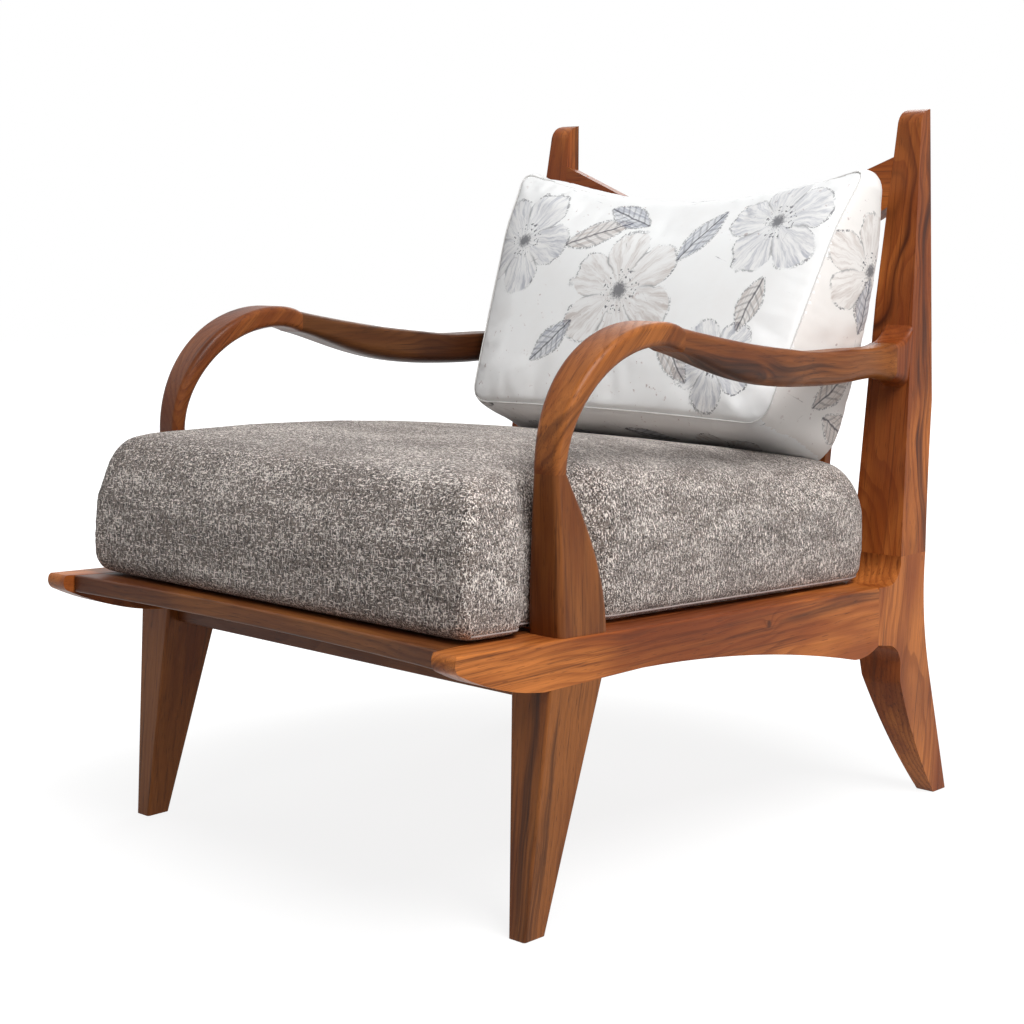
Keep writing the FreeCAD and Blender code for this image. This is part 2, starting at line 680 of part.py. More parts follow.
# The sketch lies in XZ: what is cut is the wedge beside the narrowing leg
inner_wedge = outline((0, inner_taper_z), (heel_inner, 0), (heel_inner, -10),
                      (-10, -10), (-10, inner_taper_z))
outer_wedge = outline((size("post_width"), taper_z), (heel_outer, 0), (heel_outer, -10),
                      (size("post_width") + 10, -10), (size("post_width") + 10, taper_z))
pocket_through(rear_leg_body, "InnerTaper", sketch_on(rear_leg_body, "InnerWedge", "XZ_Plane", inner_wedge))
pocket_through(rear_leg_body, "OuterTaper", sketch_on(rear_leg_body, "OuterWedge", "XZ_Plane", outer_wedge))
rear_leg_body.setExpression("Placement.Base.x", "Sizes.overall_width / 2 - Sizes.post_width")
doc.recompute()
bored("rear_leg_right", rear_leg_body, rail_dowels, post_dowels, rear_rail_dowels)
bored("rear_leg_left", mirrored(rear_leg_body, "RearLegLeft"), rail_dowels, post_dowels, rear_rail_dowels)

# Back posts: raked and tapered, with a stub that carries the arm
post_top = size("overall_height")
top_front = post_front(post_top)
knee_z = size("post_knee_height")
knee_back = post_front(knee_z) + size("post_knee_length")
corner = size("post_top_round")
post_body = new_body("BackPostBody")
post_outline = outline(
    (seam_front, size("seam_height")),
    (post_front(post_top - corner), post_top - corner),
    ((top_front + corner * 0.2, post_top - corner * 0.3), (top_front + corner * 0.75, post_top - 1)),
    (top_front + size("post_top_length"), post_top),
    (knee_back, knee_z),
    ((seam_back + 12, (knee_z + size("seam_height")) / 2 + 6), (seam_back, size("seam_height"))),
)
post_sketch = sketch_on(post_body, "PostOutline", "YZ_Plane", post_outline)
pad(post_body, "PostBoard", post_sketch, "Sizes.post_width")
post_wedge = outline(
    (size("post_width"), size("seam_height")),
    (size("post_width") - size("post_top_inset"), post_top),
    (size("post_width") - size("post_top_inset"), post_top + 10),
    (size("post_width") + 10, post_top + 10),
    (size("post_width") + 10, size("seam_height")),
)
pocket_through(post_body, "PostTaper", sketch_on(post_body, "PostWedge", "XZ_Plane", post_wedge))
lean_wedge = outline(
    (0, size("post_lean_height")),
    (size("post_lean"), post_top),
    (size("post_lean"), post_top + 10),
    (-10, post_top + 10),
    (-10, size("post_lean_height")),
)
pocket_through(post_body, "PostLean", sketch_on(post_body, "LeanWedge", "XZ_Plane", lean_wedge))
post_body.setExpression("Placement.Base.x", "Sizes.overall_width / 2 - Sizes.post_width")
doc.recompute()


def stub_section(distance, spread):
    """Cross-section of the stub, distance behind the arm's end, swollen by spread."""
    thickness = size("arm_rear_thickness") + 2 * (size("arm_flare") + spread)
    centre = FreeCAD.Vector(stub_x, stub_y + distance, stub_z)
    return rounded_wire(centre, X_DIRECTION, Z_DIRECTION, size("arm_end_width"), thickness,
                        arm_corner_round, arm_underside_round(stub_y))


stub_shape = Part.makeLoft([
    stub_section(0, 0),
    stub_section(size("stub_length") * 0.4, 2),
    stub_section(size("stub_length") * 0.75, 7),
    stub_section(size("stub_length") + 6, 20),
], True, False)
post_with_stub = doc.addObject("Part::Fuse", "PostWithStub")
post_with_stub.Base = post_body
post_with_stub.Tool = solid_feature("ArmStub", stub_shape)
post_bores = (post_dowels, stub_dowels, crest_dowels, lower_rail_dowels)
bored("back_post_right", post_with_stub, *post_bores)
bored("back_post_left", mirrored(post_with_stub, "BackPostLeft"), *post_bores)

# Arm posts, arches and rests
post_stations = 7
arm_post = solid_feature("ArmPost", Part.makeLoft(
    [arm_post_section(step / (post_stations - 1)) for step in range(post_stations)], True, False))
bored("arm_post_right", arm_post, arm_foot_dowels, waist_dowels)
bored("arm_post_left", mirrored(arm_post, "ArmPostLeft"), arm_foot_dowels, waist_dowels)

arch_stations = [arch_section(degrees) for degrees in range(0, 91, 15)]
arch_stations.append(arm_section(arm_seam_y))
arm_arch = solid_feature("ArmArch", Part.makeLoft(arch_stations, True, False))
bored("arm_arch_right", arm_arch, waist_dowels, arm_seam_dowels)
bored("arm_arch_left", mirrored(arm_arch, "ArmArchLeft"), waist_dowels, arm_seam_dowels)

rest_length = stub_y - arm_seam_y
rest_shares = (0, 0.1, 0.22, 0.36, 0.52, 0.7, 0.86, 0.94)
rest_stations = [arm_section(arm_seam_y + rest_length * share) for share in rest_shares]
rest_stations.append(arm_section(stub_y, size("arm_end_width"), size("arm_flare"), stub_x))
arm_rest = solid_feature("ArmRest", Part.makeLoft(rest_stations, True, False))
bored("arm_rest_right", arm_rest, arm_seam_dowels, stub_dowels)
bored("arm_rest_left", mirrored(arm_rest, "ArmRestLeft"), arm_seam_dowels, stub_dowels)

# Crest rail: dipped in the middle and raked like the posts
crest_top = size("crest_top_height")
crest_bottom = crest_top - size("crest_end_depth")
crest_low_top = crest_top - size("crest_dip")
crest_low_bottom = crest_low_top - size("crest_middle_depth")
dip_x = post_inner * 0.6
dip_z = size("crest_dip") * 0.56
end_top_x = post_inner_at(crest_top) - size("board_gap")
end_bottom_x = post_inner_at(crest_bottom) - size("board_gap")
crest_body = new_body("CrestBody")
crest_outline = outline(
    (end_top_x, crest_top),
    (dip_x, crest_top - dip_z),
    ((0, crest_low_top), (-dip_x, crest_top - dip_z)),
    (-end_top_x, crest_top),
    (-end_bottom_x, crest_bottom),
    ((0, crest_low_bottom), (end_bottom_x, crest_bottom)),
)
crest_sketch = sketch_on(crest_body, "CrestOutline", "XZ_Plane", crest_outline)
pad(crest_body, "CrestBoard", crest_sketch, "Sizes.crest_thickness", midplane=True)
crest_turn = FreeCAD.Rotation(X_DIRECTION, -size("post_rake"))
pivot = FreeCAD.Vector(0, 0, crest_dowel_z)
crest_body.Placement = FreeCAD.Placement(
    FreeCAD.Vector(0, crest_y, crest_dowel_z) - crest_turn.multVec(pivot), crest_turn)
bored("crest_rail", crest_body, crest_dowels)

# Lower back rail and rear seat rail
lower_rail = doc.addObject("Part::Box", "LowerRail")
lower_rail.setExpression("Length", "Sizes.overall_width - 2 * Sizes.post_width")
lower_rail.setExpression("Width", "Sizes.lower_rail_thickness")
lower_rail.setExpression("Height", "Sizes.lower_rail_height")
lower_rail_corner = FreeCAD.Vector(
    -post_inner, -size("lower_rail_thickness") / 2, -size("lower_rail_height") / 2)
lower_rail.Placement = FreeCAD.Placement(
    FreeCAD.Vector(0, lower_rail_y, lower_rail_z) + crest_turn.multVec(lower_rail_corner), crest_turn)
bored("lower_back_rail", lower_rail, lower_rail_dowels)

rear_rail = doc.addObject("Part::Box", "RearRail")
rear_rail.setExpression("Length", "Sizes.overall_width - 2 * Sizes.post_width")
rear_rail.setExpression("Width", "Sizes.rear_rail_thickness")
rear_rail.setExpression("Height", "Sizes.rear_rail_depth")
rear_rail.Placement.Base = FreeCAD.Vector(
    -post_inner, rear_rail_y - size("rear_rail_thickness") / 2, rear_rail_top_z - size("rear_rail_depth"))
bored("rear_seat_rail", rear_rail, rear_rail_dowels)

# Back slats stand on the lower rail and end under the crest rail
back_slat_count = 5
back_slat_pitch = (size("overall_width") - 2 * size("back_slat_side")) / (back_slat_count - 1)
for number in range(1, back_slat_count + 1):
    slat_x = (number - (back_slat_count + 1) / 2) * back_slat_pitch
    slat = doc.addObject("Part::Box", "BackSlatBlank%d" % number)
    slat.setExpression("Length", "Sizes.back_slat_width")
    slat.setExpression("Width", "Sizes.back_slat_thickness")
    slat.setExpression("Height", "Sizes.crest_top_height - Sizes.seam_height")
    foot = FreeCAD.Vector(0, lower_rail_y, lower_rail_z)
    corner_vector = FreeCAD.Vector(slat_x - size("back_slat_width") / 2, -size("lower_rail_thickness") / 2,
                                   size("lower_rail_height") / 2)
    slat.Placement = FreeCAD.Placement(foot + crest_turn.multVec(corner_vector), crest_turn)
    above = doc.addObject("Part::Box", "AboveCrest%d" % number)
    above.Length = size("back_slat_width") + 4
    above.Width = size("crest_thickness") * 4
    above.Height = size("crest_top_height")
    above.Placement.Base = FreeCAD.Vector(slat_x - above.Length.Value / 2, crest_y - above.Width.Value / 2,
                                          crest_low_bottom + size("crest_middle_depth") / 2)
    trim = doc.addObject("Part::Fuse", "SlatTrim%d" % number)
    trim.Base = crest_body
    trim.Tool = above
    label = "back_slat_%d" % number
    keep(cut_away(label, slat, trim), label)

# Front board: flush with the rails, its front edge hollowed
board_front = along(size("board_start"))


def rail_inner_at(y):
    """Inner face of the rail at y, where the nose tapers."""
    share = min(max((taper_end - y) / size("rail_taper_length"), 0), 1)
    return rail_inner + size("rail_tip_taper") * share


board_body = new_body("FrontBoardBody")
board_tip_x = rail_inner_at(board_front) - size("board_gap")
board_x = rail_inner - size("board_gap")
board_outline = outline(
    (-board_tip_x, board_front),
    ((0, board_front + size("board_hollow")), (board_tip_x, board_front)),
    (board_x, taper_end),
    (board_x, board_back),
    (-board_x, board_back),
    (-board_x, taper_end),
)
board_sketch = sketch_on(board_body, "BoardOutline", "XY_Plane", board_outline)
pad(board_body, "BoardPlate", board_sketch, "Sizes.board_thickness")
board_body.Placement = on_seat(size("board_thickness"))
keep(board_body, "front_board")

# Apron: reaches up to the front board, between the legs and then between the rails
apron_y = along(size("apron_start") + size("apron_thickness") / 2)
apron_back_y = apron_y + size("apron_thickness") / 2
apron_top_z = rail_top(apron_back_y) - size("board_thickness") / math.cos(math.radians(size("seat_slope")))
apron_body = new_body("ApronBody")
apron_bottom = size("apron_bottom_height")
apron_outline = outline(
    (-leg_inner, apron_bottom),
    (leg_inner, apron_bottom),
    (leg_inner, flat_z),
    (rail_inner, flat_z),
    (rail_inner, apron_top_z),
    (-rail_inner, apron_top_z),
    (-rail_inner, flat_z),
    (-leg_inner, flat_z),
)
apron_sketch = sketch_on(apron_body, "ApronOutline", "XZ_Plane", apron_outline)
pad(apron_body, "ApronBoard", apron_sketch, "Sizes.apron_thickness", midplane=True)
apron_body.Placement.Base = FreeCAD.Vector(0, apron_y, 0)
keep(apron_body, "front_apron")

# Slats across the ledgers
slat_count = 5
slat_boxes = []
slat_heads = []
for number in range(1, slat_count + 1):
    slat_start = ledger_end - size("seat_slat_width") - (slat_count - number) * size("seat_slat_pitch")
    slat = doc.addObject("Part::Box", "SeatSlatBlank%d" % number)
    slat.setExpression("Length", "Sizes.overall_width - 2 * Sizes.rail_thickness - 2 * Sizes.board_gap")
    slat.setExpression("Width", "Sizes.seat_slat_width")
    slat.setExpression("Height", "Sizes.seat_slat_thickness")
    place = on_seat(seat_drop)
    corner_vector = FreeCAD.Vector(-board_x, slat_start, 0)
    slat.Placement = FreeCAD.Placement(place.multVec(corner_vector), seat_turn)
    slat_boxes.append(slat)
    surface = on_seat(0)
    for side in (-1, 1):
        for share in (0.25, 0.75):
            spot = FreeCAD.Vector(side * (rail_inner - size("ledger_width") / 2),
                                  slat_start + share * size("seat_slat_width"), 0)
            slat_heads.append(surface.multVec(spot))
down = seat_turn.multVec(FreeCAD.Vector(0, 0, -1))
slat_screws = Screws("seat_slat_screws", "slat_screw_length", down, slat_heads)
for number, slat in enumerate(slat_boxes, start=1):
    label = "seat_slat_%d" % number
    bored(label, slat, slat_screws)

bored("seat_ledger_right", ledger, slat_screws, ledger_screws_right)
bored("seat_ledger_left", mirrored(ledger, "LedgerLeft"), slat_screws, ledger_screws_left)

# Seat cushion: its plan and two crowned sections, each drawn square to the seat
seat_front = along(size("seat_cushion_front"))
seat_back = seat_front + size("seat_cushion_length")
seat_middle = (seat_front + seat_back) / 2
seat_half_x = arm_outer_x - size("arm_foot_width") - size("soft_gap") + size("seat_cushion_bulge")
# Between these depths the arm posts hold the sides of the cushion in
waist_start = along(size("arm_foot_start")) - 8
waist_end = along(size("arm_foot_start") + size("arm_foot_length")) + 4
bend = 1 - math.sqrt(0.5)


def cushion_side(sign, inset):
    """Points down one side of the plan: swollen, held in by the arm post, swollen."""
    half_x = seat_half_x - inset
    held_x = half_x - size("seat_cushion_bulge")
    between_x = held_x + size("seat_cushion_bulge") * 0.72
    run = size("seat_bulge_run")
    plan = (
        (half_x, waist_start - run),
        (between_x, waist_start - run / 2),
        (held_x, waist_start),
        (held_x, waist_end),
        (between_x, waist_end + run / 2),
        (half_x, waist_end + run),
    )
    return [FreeCAD.Vector(sign * x, y, 0) for x, y in plan]


def cushion_corner(sign, inset, front, radius):
    """Side end, bulge and face end of one upright corner in the plan."""
    half_x = seat_half_x - inset
    face_y = seat_front + inset if front else seat_back - inset
    inwards = 1 if front else -1
    plan = (
        (half_x, face_y + inwards * radius),
        (half_x - radius * bend, face_y + inwards * radius * bend),
        (half_x - radius, face_y),
    )
    return [FreeCAD.Vector(sign * x, y, 0) for x, y in plan]


def seat_plan(inset):
    """Outline of the seat cushion from above."""
    edges = []
    ends = []
    for sign in (1, -1):
        front_corner = cushion_corner(sign, inset, True, size("seat_front_round"))
        back_corner = cushion_corner(sign, inset, False, size("seat_back_round"))
        side = cushion_side(sign, inset)
        run = [
            Part.Arc(front_corner[2], front_corner[1], front_corner[0]),
            Part.LineSegment(front_corner[0], side[0]),
            Part.Arc(side[0], side[1], side[2]),
            Part.LineSegment(side[2], side[3]),
            Part.Arc(side[3], side[4], side[5]),
            Part.LineSegment(side[5], back_corner[0]),
            Part.Arc(back_corner[0], back_corner[1], back_corner[2]),
        ]
        ends.append((front_corner[2], back_corner[2]))
        edges.append([curve.toShape() for curve in run])
    right, left = edges
    back_edge = Part.LineSegment(ends[0][1], ends[1][1]).toShape()
    front_middle = FreeCAD.Vector(0, ends[0][0].y + size("seat_cushion_pull"), 0)
    front_edge = Part.Arc(ends[1][0], front_middle, ends[0][0]).toShape()
    return Part.Wire(right + [back_edge] + left[::-1] + [front_edge])


def seat_section(start, end, inset, direction):
    """Upright outline across the cushion, rounded and crowned; it starts and ends a little outside it."""
    first = start + inset - size("seat_edge_over")
    last = end - inset + size("seat_edge_over")
    bottom = size("soft_gap") + inset
    top = size("soft_gap") + size("seat_cushion_edge") - inset
    foot = size("seat_foot_round")
    edge = size("seat_edge_round")

    def point(distance, height):
        return direction * distance + Z_DIRECTION * height

    low_first = point(first + foot, bottom)
    low_last = point(last - foot, bottom)
    high_first = point(first + edge, top)
    high_last = point(last - edge, top)
    crown = point((first + last) / 2, top + size("seat_cushion_crown"))
    foot_last = point(last, bottom + foot)
    foot_first = point(first, bottom + foot)
    side_last = point(last, top - edge)
    side_first = point(first, top - edge)
    run = [
        Part.LineSegment(low_first, low_last),
        Part.Arc(low_last, point(last - foot * bend, bottom + foot * bend), foot_last),
        Part.LineSegment(foot_last, side_last),
        Part.Arc(side_last, point(last - edge * bend, top - edge * bend), high_last),
        Part.Arc(high_last, crown, high_first),
        Part.Arc(high_first, point(first + edge * bend, top - edge * bend), side_first),
        Part.LineSegment(side_first, foot_first),
        Part.Arc(foot_first, point(first + foot * bend, bottom + foot * bend), low_first),
    ]
    return Part.Wire([curve.toShape() for curve in run])


def through(wire, direction, reach):
    """Solid of a flat outline, carried the same way to both sides of it."""
    base = Part.Face(wire)
    base.translate(direction * -reach)
    return base.extrude(direction * (2 * reach))


def seat_cushion_shape(inset):
    """Closed form of the seat cushion, smaller all round by the inset."""
    reach = size("overall_width")
    shape = through(seat_plan(inset), Z_DIRECTION, reach)
    for start, end, across, other in (
        (seat_front, seat_back, Y_DIRECTION, X_DIRECTION),
        (-seat_half_x, seat_half_x, X_DIRECTION, Y_DIRECTION),
    ):
        shape = shape.common(through(seat_section(start, end, inset, across), other, reach))
    shape.Placement = on_seat(0)
    return shape


def soft_pair(name, shape_of):
    """Cover of a cushion, hollowed for its core, and the core."""
    wall = size("cover_thickness")
    cover = solid_feature(name + "_outside", shape_of(0))
    hollow = solid_feature(name + "_hollow", shape_of(wall))
    keep(cut_away(name + "_cover", cover, hollow), name + "_cover")
    keep(solid_feature(name + "_core", shape_of(wall + size("soft_gap"))), name + "_core")


def zip_strip(label, centre, outward):
    """Flat zip along X that lies on a cushion with its back against it."""
    strip = doc.addObject("Part::Box", label)
    strip.setExpression("Length", "Sizes.zip_length")
    strip.setExpression("Width", "Sizes.zip_width")
    strip.setExpression("Height", "Sizes.zip_thickness")
    turn = FreeCAD.Rotation(X_DIRECTION, outward.cross(X_DIRECTION) * -1, outward, "ZXY")
    corner = turn.multVec(FreeCAD.Vector(-size("zip_length") / 2, -size("zip_width") / 2, 0))
    strip.Placement = FreeCAD.Placement(centre + corner, turn)
    keep(strip, label)


soft_pair("seat_cushion", seat_cushion_shape)
seat_zip_spot = FreeCAD.Vector(0, seat_back, size("soft_gap") + size("seat_cushion_edge") / 2)
zip_strip("seat_cushion_zip", on_seat(0).multVec(seat_zip_spot), seat_turn.multVec(Y_DIRECTION))

# Back cushion: a wedge that leans on the slats and stands on the seat cushion
back_up = FreeCAD.Vector(0, rake, 1)
back_up.normalize()
foot_slope = size("back_cushion_foot_rise") / size("back_cushion_foot")
seat_rear_points = []
for edge in seat_section(seat_front, seat_back, 0, Y_DIRECTION).Edges:
    seat_rear_points.extend(edge.discretize(Distance=3))


def back_cushion_base():
    """Lower back corner of the cushion, so low that its foot just clears the seat cushion."""
    stand_off = (size("back_cushion_swell") + size("soft_gap")) / math.cos(math.radians(size("post_rake")))
    base = FreeCAD.Vector(0, 0, rail_top(seat_back) + size("seat_cushion_edge"))
    for attempt in range(4):
        base.y = post_front(base.z) - stand_off
        heights = []
        for point in seat_rear_points:
            spot = on_seat(0).multVec(point)
            if base.y - size("back_cushion_foot") < spot.y < base.y:
                heights.append(spot.z + size("soft_gap") - foot_slope * (base.y - spot.y))
        base.z = max(heights)
    return base


back_base = back_cushion_base()


def back_half_width(z):
    """Half width of the back cushion at height z: wider at its top."""
    share = (z - back_base.z) / size("back_cushion_length")
    foot = half_width - size("back_cushion_foot_side")
    return foot + share * (half_width - size("back_cushion_side") - foot)


def back_cushion_wire(share, inset):
    """Upright section of the cushion: share runs from -1 at its left to 1 at its right."""
    bow = 1 - share ** 2
    head_rear = back_base + back_up * (size("back_cushion_length") - size("back_cushion_sag") * bow)
    head_front = head_rear + FreeCAD.Vector(0, -size("back_cushion_head"), 0)
    foot_front = back_base + FreeCAD.Vector(0, -size("back_cushion_foot"), size("back_cushion_foot_rise"))
    corners = [back_base, head_rear, head_front, foot_front]
    middle = (back_base + head_rear + head_front + foot_front) * 0.25
    for index, point in enumerate(corners):
        inward = middle - point
        inward.normalize()
        corners[index] = point + inward * (inset * math.sqrt(2))
    radius = size("back_corner_round")
    swells = (size("back_cushion_swell") * (1 - share ** 4), 0, size("back_cushion_crown") * bow, 0)
    bends = []
    for index, point in enumerate(corners):
        before = corners[index - 1] - point
        after = corners[(index + 1) % 4] - point
        before.normalize()
        after.normalize()
        bulge = point + (before + after) * (radius * 0.29)
        bends.append((point + before * radius, bulge, point + after * radius))
    edges = []
    for index, (start, bulge, end) in enumerate(bends):
        edges.append(back_cushion_edge(start, bulge, end, share, inset))
        following = bends[(index + 1) % 4][0]
        along_side = following - end
        along_side.normalize()
        outward = along_side.cross(X_DIRECTION)
        middle_point = (end + following) * 0.5 + outward * swells[index]
        edges.append(back_cushion_edge(end, middle_point, following, share, inset))
    return Part.Wire(edges)


def back_cushion_edge(start, middle, end, share, inset):
    """Line or arc of a section, each point moved to the cushion's width at its height."""
    placed = []
    for point in (start, middle, end):
        reach = back_half_width(point.z) - inset
        placed.append(FreeCAD.Vector(reach * share, point.y, point.z))
    if (placed[1] - (placed[0] + placed[2]) * 0.5).Length < 0.05:
        return Part.LineSegment(placed[0], placed[2]).toShape()
    return Part.Arc(*placed).toShape()


def back_cushion_shape(inset):
    """Closed form of the back cushion, smaller all round by the inset."""
    shares = (-1, -0.93, -0.75, -0.5, -0.25, 0, 0.25, 0.5, 0.75, 0.93, 1)
    return Part.makeLoft([back_cushion_wire(share, inset) for share in shares], True, True)


soft_pair("back_cushion", back_cushion_shape)
foot_share = 0.55
foot_forward = FreeCAD.Vector(0, -size("back_cushion_foot"), size("back_cushion_foot_rise"))
foot_spot = back_base + foot_forward * foot_share
foot_outward = FreeCAD.Vector(0, -size("back_cushion_foot_rise"), -size("back_cushion_foot"))
foot_outward.normalize()
zip_strip("back_cushion_zip", foot_spot, foot_outward)


def check_and_write():
    doc.recompute()
    for thing in doc.Objects:
        if "Invalid" in thing.State or "Error" in thing.State:
            raise ValueError("%s did not recompute" % thing.Name)
    os.makedirs("parts", exist_ok=True)
    for thing in node_objects:
        shape = thing.Shape
        if shape.isNull() or not shape.isValid():
            raise ValueError("%s has no valid shape" % thing.Label)
        shape.exportStep("parts/%s.step" % thing.Label)
        print(thing.Label, len(shape.Solids), round(shape.Volume / 1000, 1), "cm3")


check_and_write()
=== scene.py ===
# %% [markdown]
# # A lounge chair: oiled hardwood frame, tweed seat cushion, printed back cushion
#
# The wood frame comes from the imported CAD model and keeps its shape. This script gives it
# rounded edges and grain, makes the two loose cushions as sewn and filled covers, and sets
# up a plain studio around the chair. All lengths are in metres, with z up; the chair faces
# -y and stands on the floor at z = 0.

import math

import bmesh
import bpy
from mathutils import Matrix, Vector
from mathutils.bvhtree import BVHTree
from mathutils.kdtree import KDTree


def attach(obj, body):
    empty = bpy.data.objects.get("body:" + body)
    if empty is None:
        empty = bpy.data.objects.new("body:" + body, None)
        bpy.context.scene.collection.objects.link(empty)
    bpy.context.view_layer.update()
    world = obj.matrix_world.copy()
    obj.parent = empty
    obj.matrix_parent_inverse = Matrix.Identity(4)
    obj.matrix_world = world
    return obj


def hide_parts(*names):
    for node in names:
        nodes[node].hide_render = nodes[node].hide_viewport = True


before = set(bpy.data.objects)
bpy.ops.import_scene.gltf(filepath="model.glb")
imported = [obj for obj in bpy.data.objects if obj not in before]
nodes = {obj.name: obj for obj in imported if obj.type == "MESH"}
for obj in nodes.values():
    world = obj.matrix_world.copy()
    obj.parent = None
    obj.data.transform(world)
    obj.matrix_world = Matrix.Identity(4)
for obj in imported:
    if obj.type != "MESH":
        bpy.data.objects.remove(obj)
scene = bpy.context.scene
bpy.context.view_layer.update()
MM = 0.001
print("nodes in the frame:", len(nodes))

# %% [markdown]
# ## Camera
#
# The photograph was taken from in front and to the chair's left side as one sits in it, a
# little above seat height, and the picture was framed lower than the lens was aimed. Tilting
# the camera down further would make upright lines lean more than they do there, so a vertical
# shift moves the frame instead.

# %% Camera at the photograph's angle
camera_data = bpy.data.cameras.new("camera")
camera_data.lens = 69.294
camera_data.sensor_width = 36
camera_data.shift_y = -0.1387
camera_data.clip_end = 60
camera = bpy.data.objects.new("camera", camera_data)
camera.location = (1.57366, -1.67283, 0.68296)
camera.rotation_euler = (math.radians(90 - 4.026), 0, math.radians(43.353))
scene.collection.objects.link(camera)
scene.camera = camera
print("camera stands", round(camera.location.length, 2), "m from the chair's middle")

# %% [markdown]
# ## Shader maths
#
# A node tree is easier to read as a sum than as a list of links. One small class wraps an
# output socket and answers +, -, * and / with Math nodes, in either order. A second class
# holds one material, or the world, and makes any other node from its type, its settings and
# its sockets.


# %% A socket that can be used in sums
class Wire:
    """An output socket of a node, used like a number."""

    def __init__(self, finish, socket):
        self.finish = finish
        self.socket = socket

    def apply(self, operation, *values):
        """A Math node on this socket and the values given."""
        inputs = dict(enumerate((self,) + values))
        return self.finish.add("ShaderNodeMath", {"operation": operation}, inputs)

    def __add__(self, other):
        return self.apply("ADD", other)

    def __sub__(self, other):
        return self.apply("SUBTRACT", other)

    def __rsub__(self, other):
        return self.finish.add("ShaderNodeMath", {"operation": "SUBTRACT"}, {0: other, 1: self})

    def __mul__(self, other):
        return self.apply("MULTIPLY", other)

    def __truediv__(self, other):
        return self.apply("DIVIDE", other)

    def __rtruediv__(self, other):
        return self.finish.add("ShaderNodeMath", {"operation": "DIVIDE"}, {0: other, 1: self})

    __radd__ = __add__
    __rmul__ = __mul__

    def between(self, low, high):
        """0 below low, 1 above high and a soft step between them."""
        return self.finish.add(
            "ShaderNodeMapRange", {"interpolation_type": "SMOOTHSTEP"},
            {"Value": self, "From Min": low, "From Max": high, "To Min": 0, "To Max": 1})


# %% A material and the nodes that make it
class Finish:
    """One material, or the world, with helpers that add nodes to it."""

    def __init__(self, name, world=None):
        self.material = world or bpy.data.materials.new(name)
        self.material.use_nodes = True
        self.tree = self.material.node_tree
        self.tree.nodes.clear()
        self.place = self.add("ShaderNodeTexCoord", output="Object")

    def add(self, kind, settings=None, sockets=None, output=0):
        """Any node: its type, its settings, then what goes into its sockets."""
        node = self.tree.nodes.new(kind)
        for name, value in (settings or {}).items():
            setattr(node, name, value)
        for key, value in (sockets or {}).items():
            if isinstance(value, Wire):
                self.tree.links.new(value.socket, node.inputs[key])
            else:
                node.inputs[key].default_value = value
        return Wire(self, node.outputs[output])

    def along(self, direction):
        """How far a point of the surface lies along a direction."""
        return self.add("ShaderNodeVectorMath", {"operation": "DOT_PRODUCT"},
                        {0: self.place, 1: direction}, output="Value")

    def point(self, x, y, z=0.0):
        """Three numbers as one point."""
        return self.add("ShaderNodeCombineXYZ", None, {0: x, 1: y, 2: z})

    def length(self, vector):
        """How far a point lies from the origin."""
        return self.add("ShaderNodeVectorMath", {"operation": "LENGTH"}, {0: vector},
                        output="Value")

    def scaled(self, vector, factors):
        """A point with a factor of its own on each axis."""
        return self.add("ShaderNodeVectorMath", {"operation": "MULTIPLY"}, {0: vector, 1: factors})

    def noise(self, vector, scale=1.0, detail=2.0, roughness=0.5, distortion=0.0):
        """Soft noise from 0 to 1, most of it near the middle."""
        return self.add("ShaderNodeTexNoise", None, {
            "Vector": vector, "Scale": scale, "Detail": detail, "Roughness": roughness,
            "Distortion": distortion})

    def blend(self, share, first, second):
        """Two colours mixed by a share. Mix names its sockets alike, so they go by number."""
        return self.add("ShaderNodeMix", {"data_type": "RGBA"},
                        {0: share, 6: first, 7: second}, output=2)

    def seen_directly(self):
        """1 where the camera, a mirror image or a clear pane shows this, 0 where it lights."""
        seen = self.add("ShaderNodeLightPath", output="Is Camera Ray")
        for ray in ("Is Glossy Ray", "Is Transmission Ray"):
            seen = seen.apply("MAXIMUM", self.add("ShaderNodeLightPath", output=ray))
        return seen

    def finish_surface(self, colour, roughness, height=None, strength=0.3, distance=0.001,
                       **constants):
        """The shader itself. Constants such as coat or sheen go on its own sockets."""
        sockets = {"Base Color": colour, "Roughness": roughness}
        if height is not None:
            sockets["Normal"] = self.add("ShaderNodeBump", None, {
                "Height": height, "Strength": strength, "Distance": distance})
        for name, value in constants.items():
            sockets[name.replace("_", " ").title().replace("Ior", "IOR")] = value
        shader = self.add("ShaderNodeBsdfPrincipled", None, sockets)
        self.add_output(shader)
        return self.material

    def add_output(self, shader, kind="ShaderNodeOutputMaterial"):
        """Sends a shader to the surface."""
        node = self.tree.nodes.new(kind)
        self.tree.links.new(shader.socket, node.inputs["Surface"])


def paint(red, green, blue):
    """A colour as a picture program gives it, 0 to 255, turned to linear light."""
    def straight(value):
        value = value / 255
        return value / 12.92 if value < 0.04045 else ((value + 0.055) / 1.055) ** 2.4
    return (straight(red), straight(green), straight(blue), 1.0)


print("mid wood colour in linear light:", [round(part, 3) for part in paint(150, 88, 50)])

# %% [markdown]
# ## Oiled hardwood
#
# The frame is a warm brown hardwood with dark streaks, small knots and a satin finish. Wood
# is solid, so its figure is made in three dimensions: rings round a heart that lies beside
# the board, bent by slow noise along the grain. Where a face cuts the rings flat, arches
# appear by themselves, and on the next face straight lines. Long thin noise adds fibres and
# pores, broad noise adds the dark streaks, and rings swell round each knot.


# %% Wood that runs along a board
RINGS_PER_METRE = 150.0
BROWNS = ((204, 122, 58), (154, 80, 32), (112, 50, 20), (58, 24, 9))


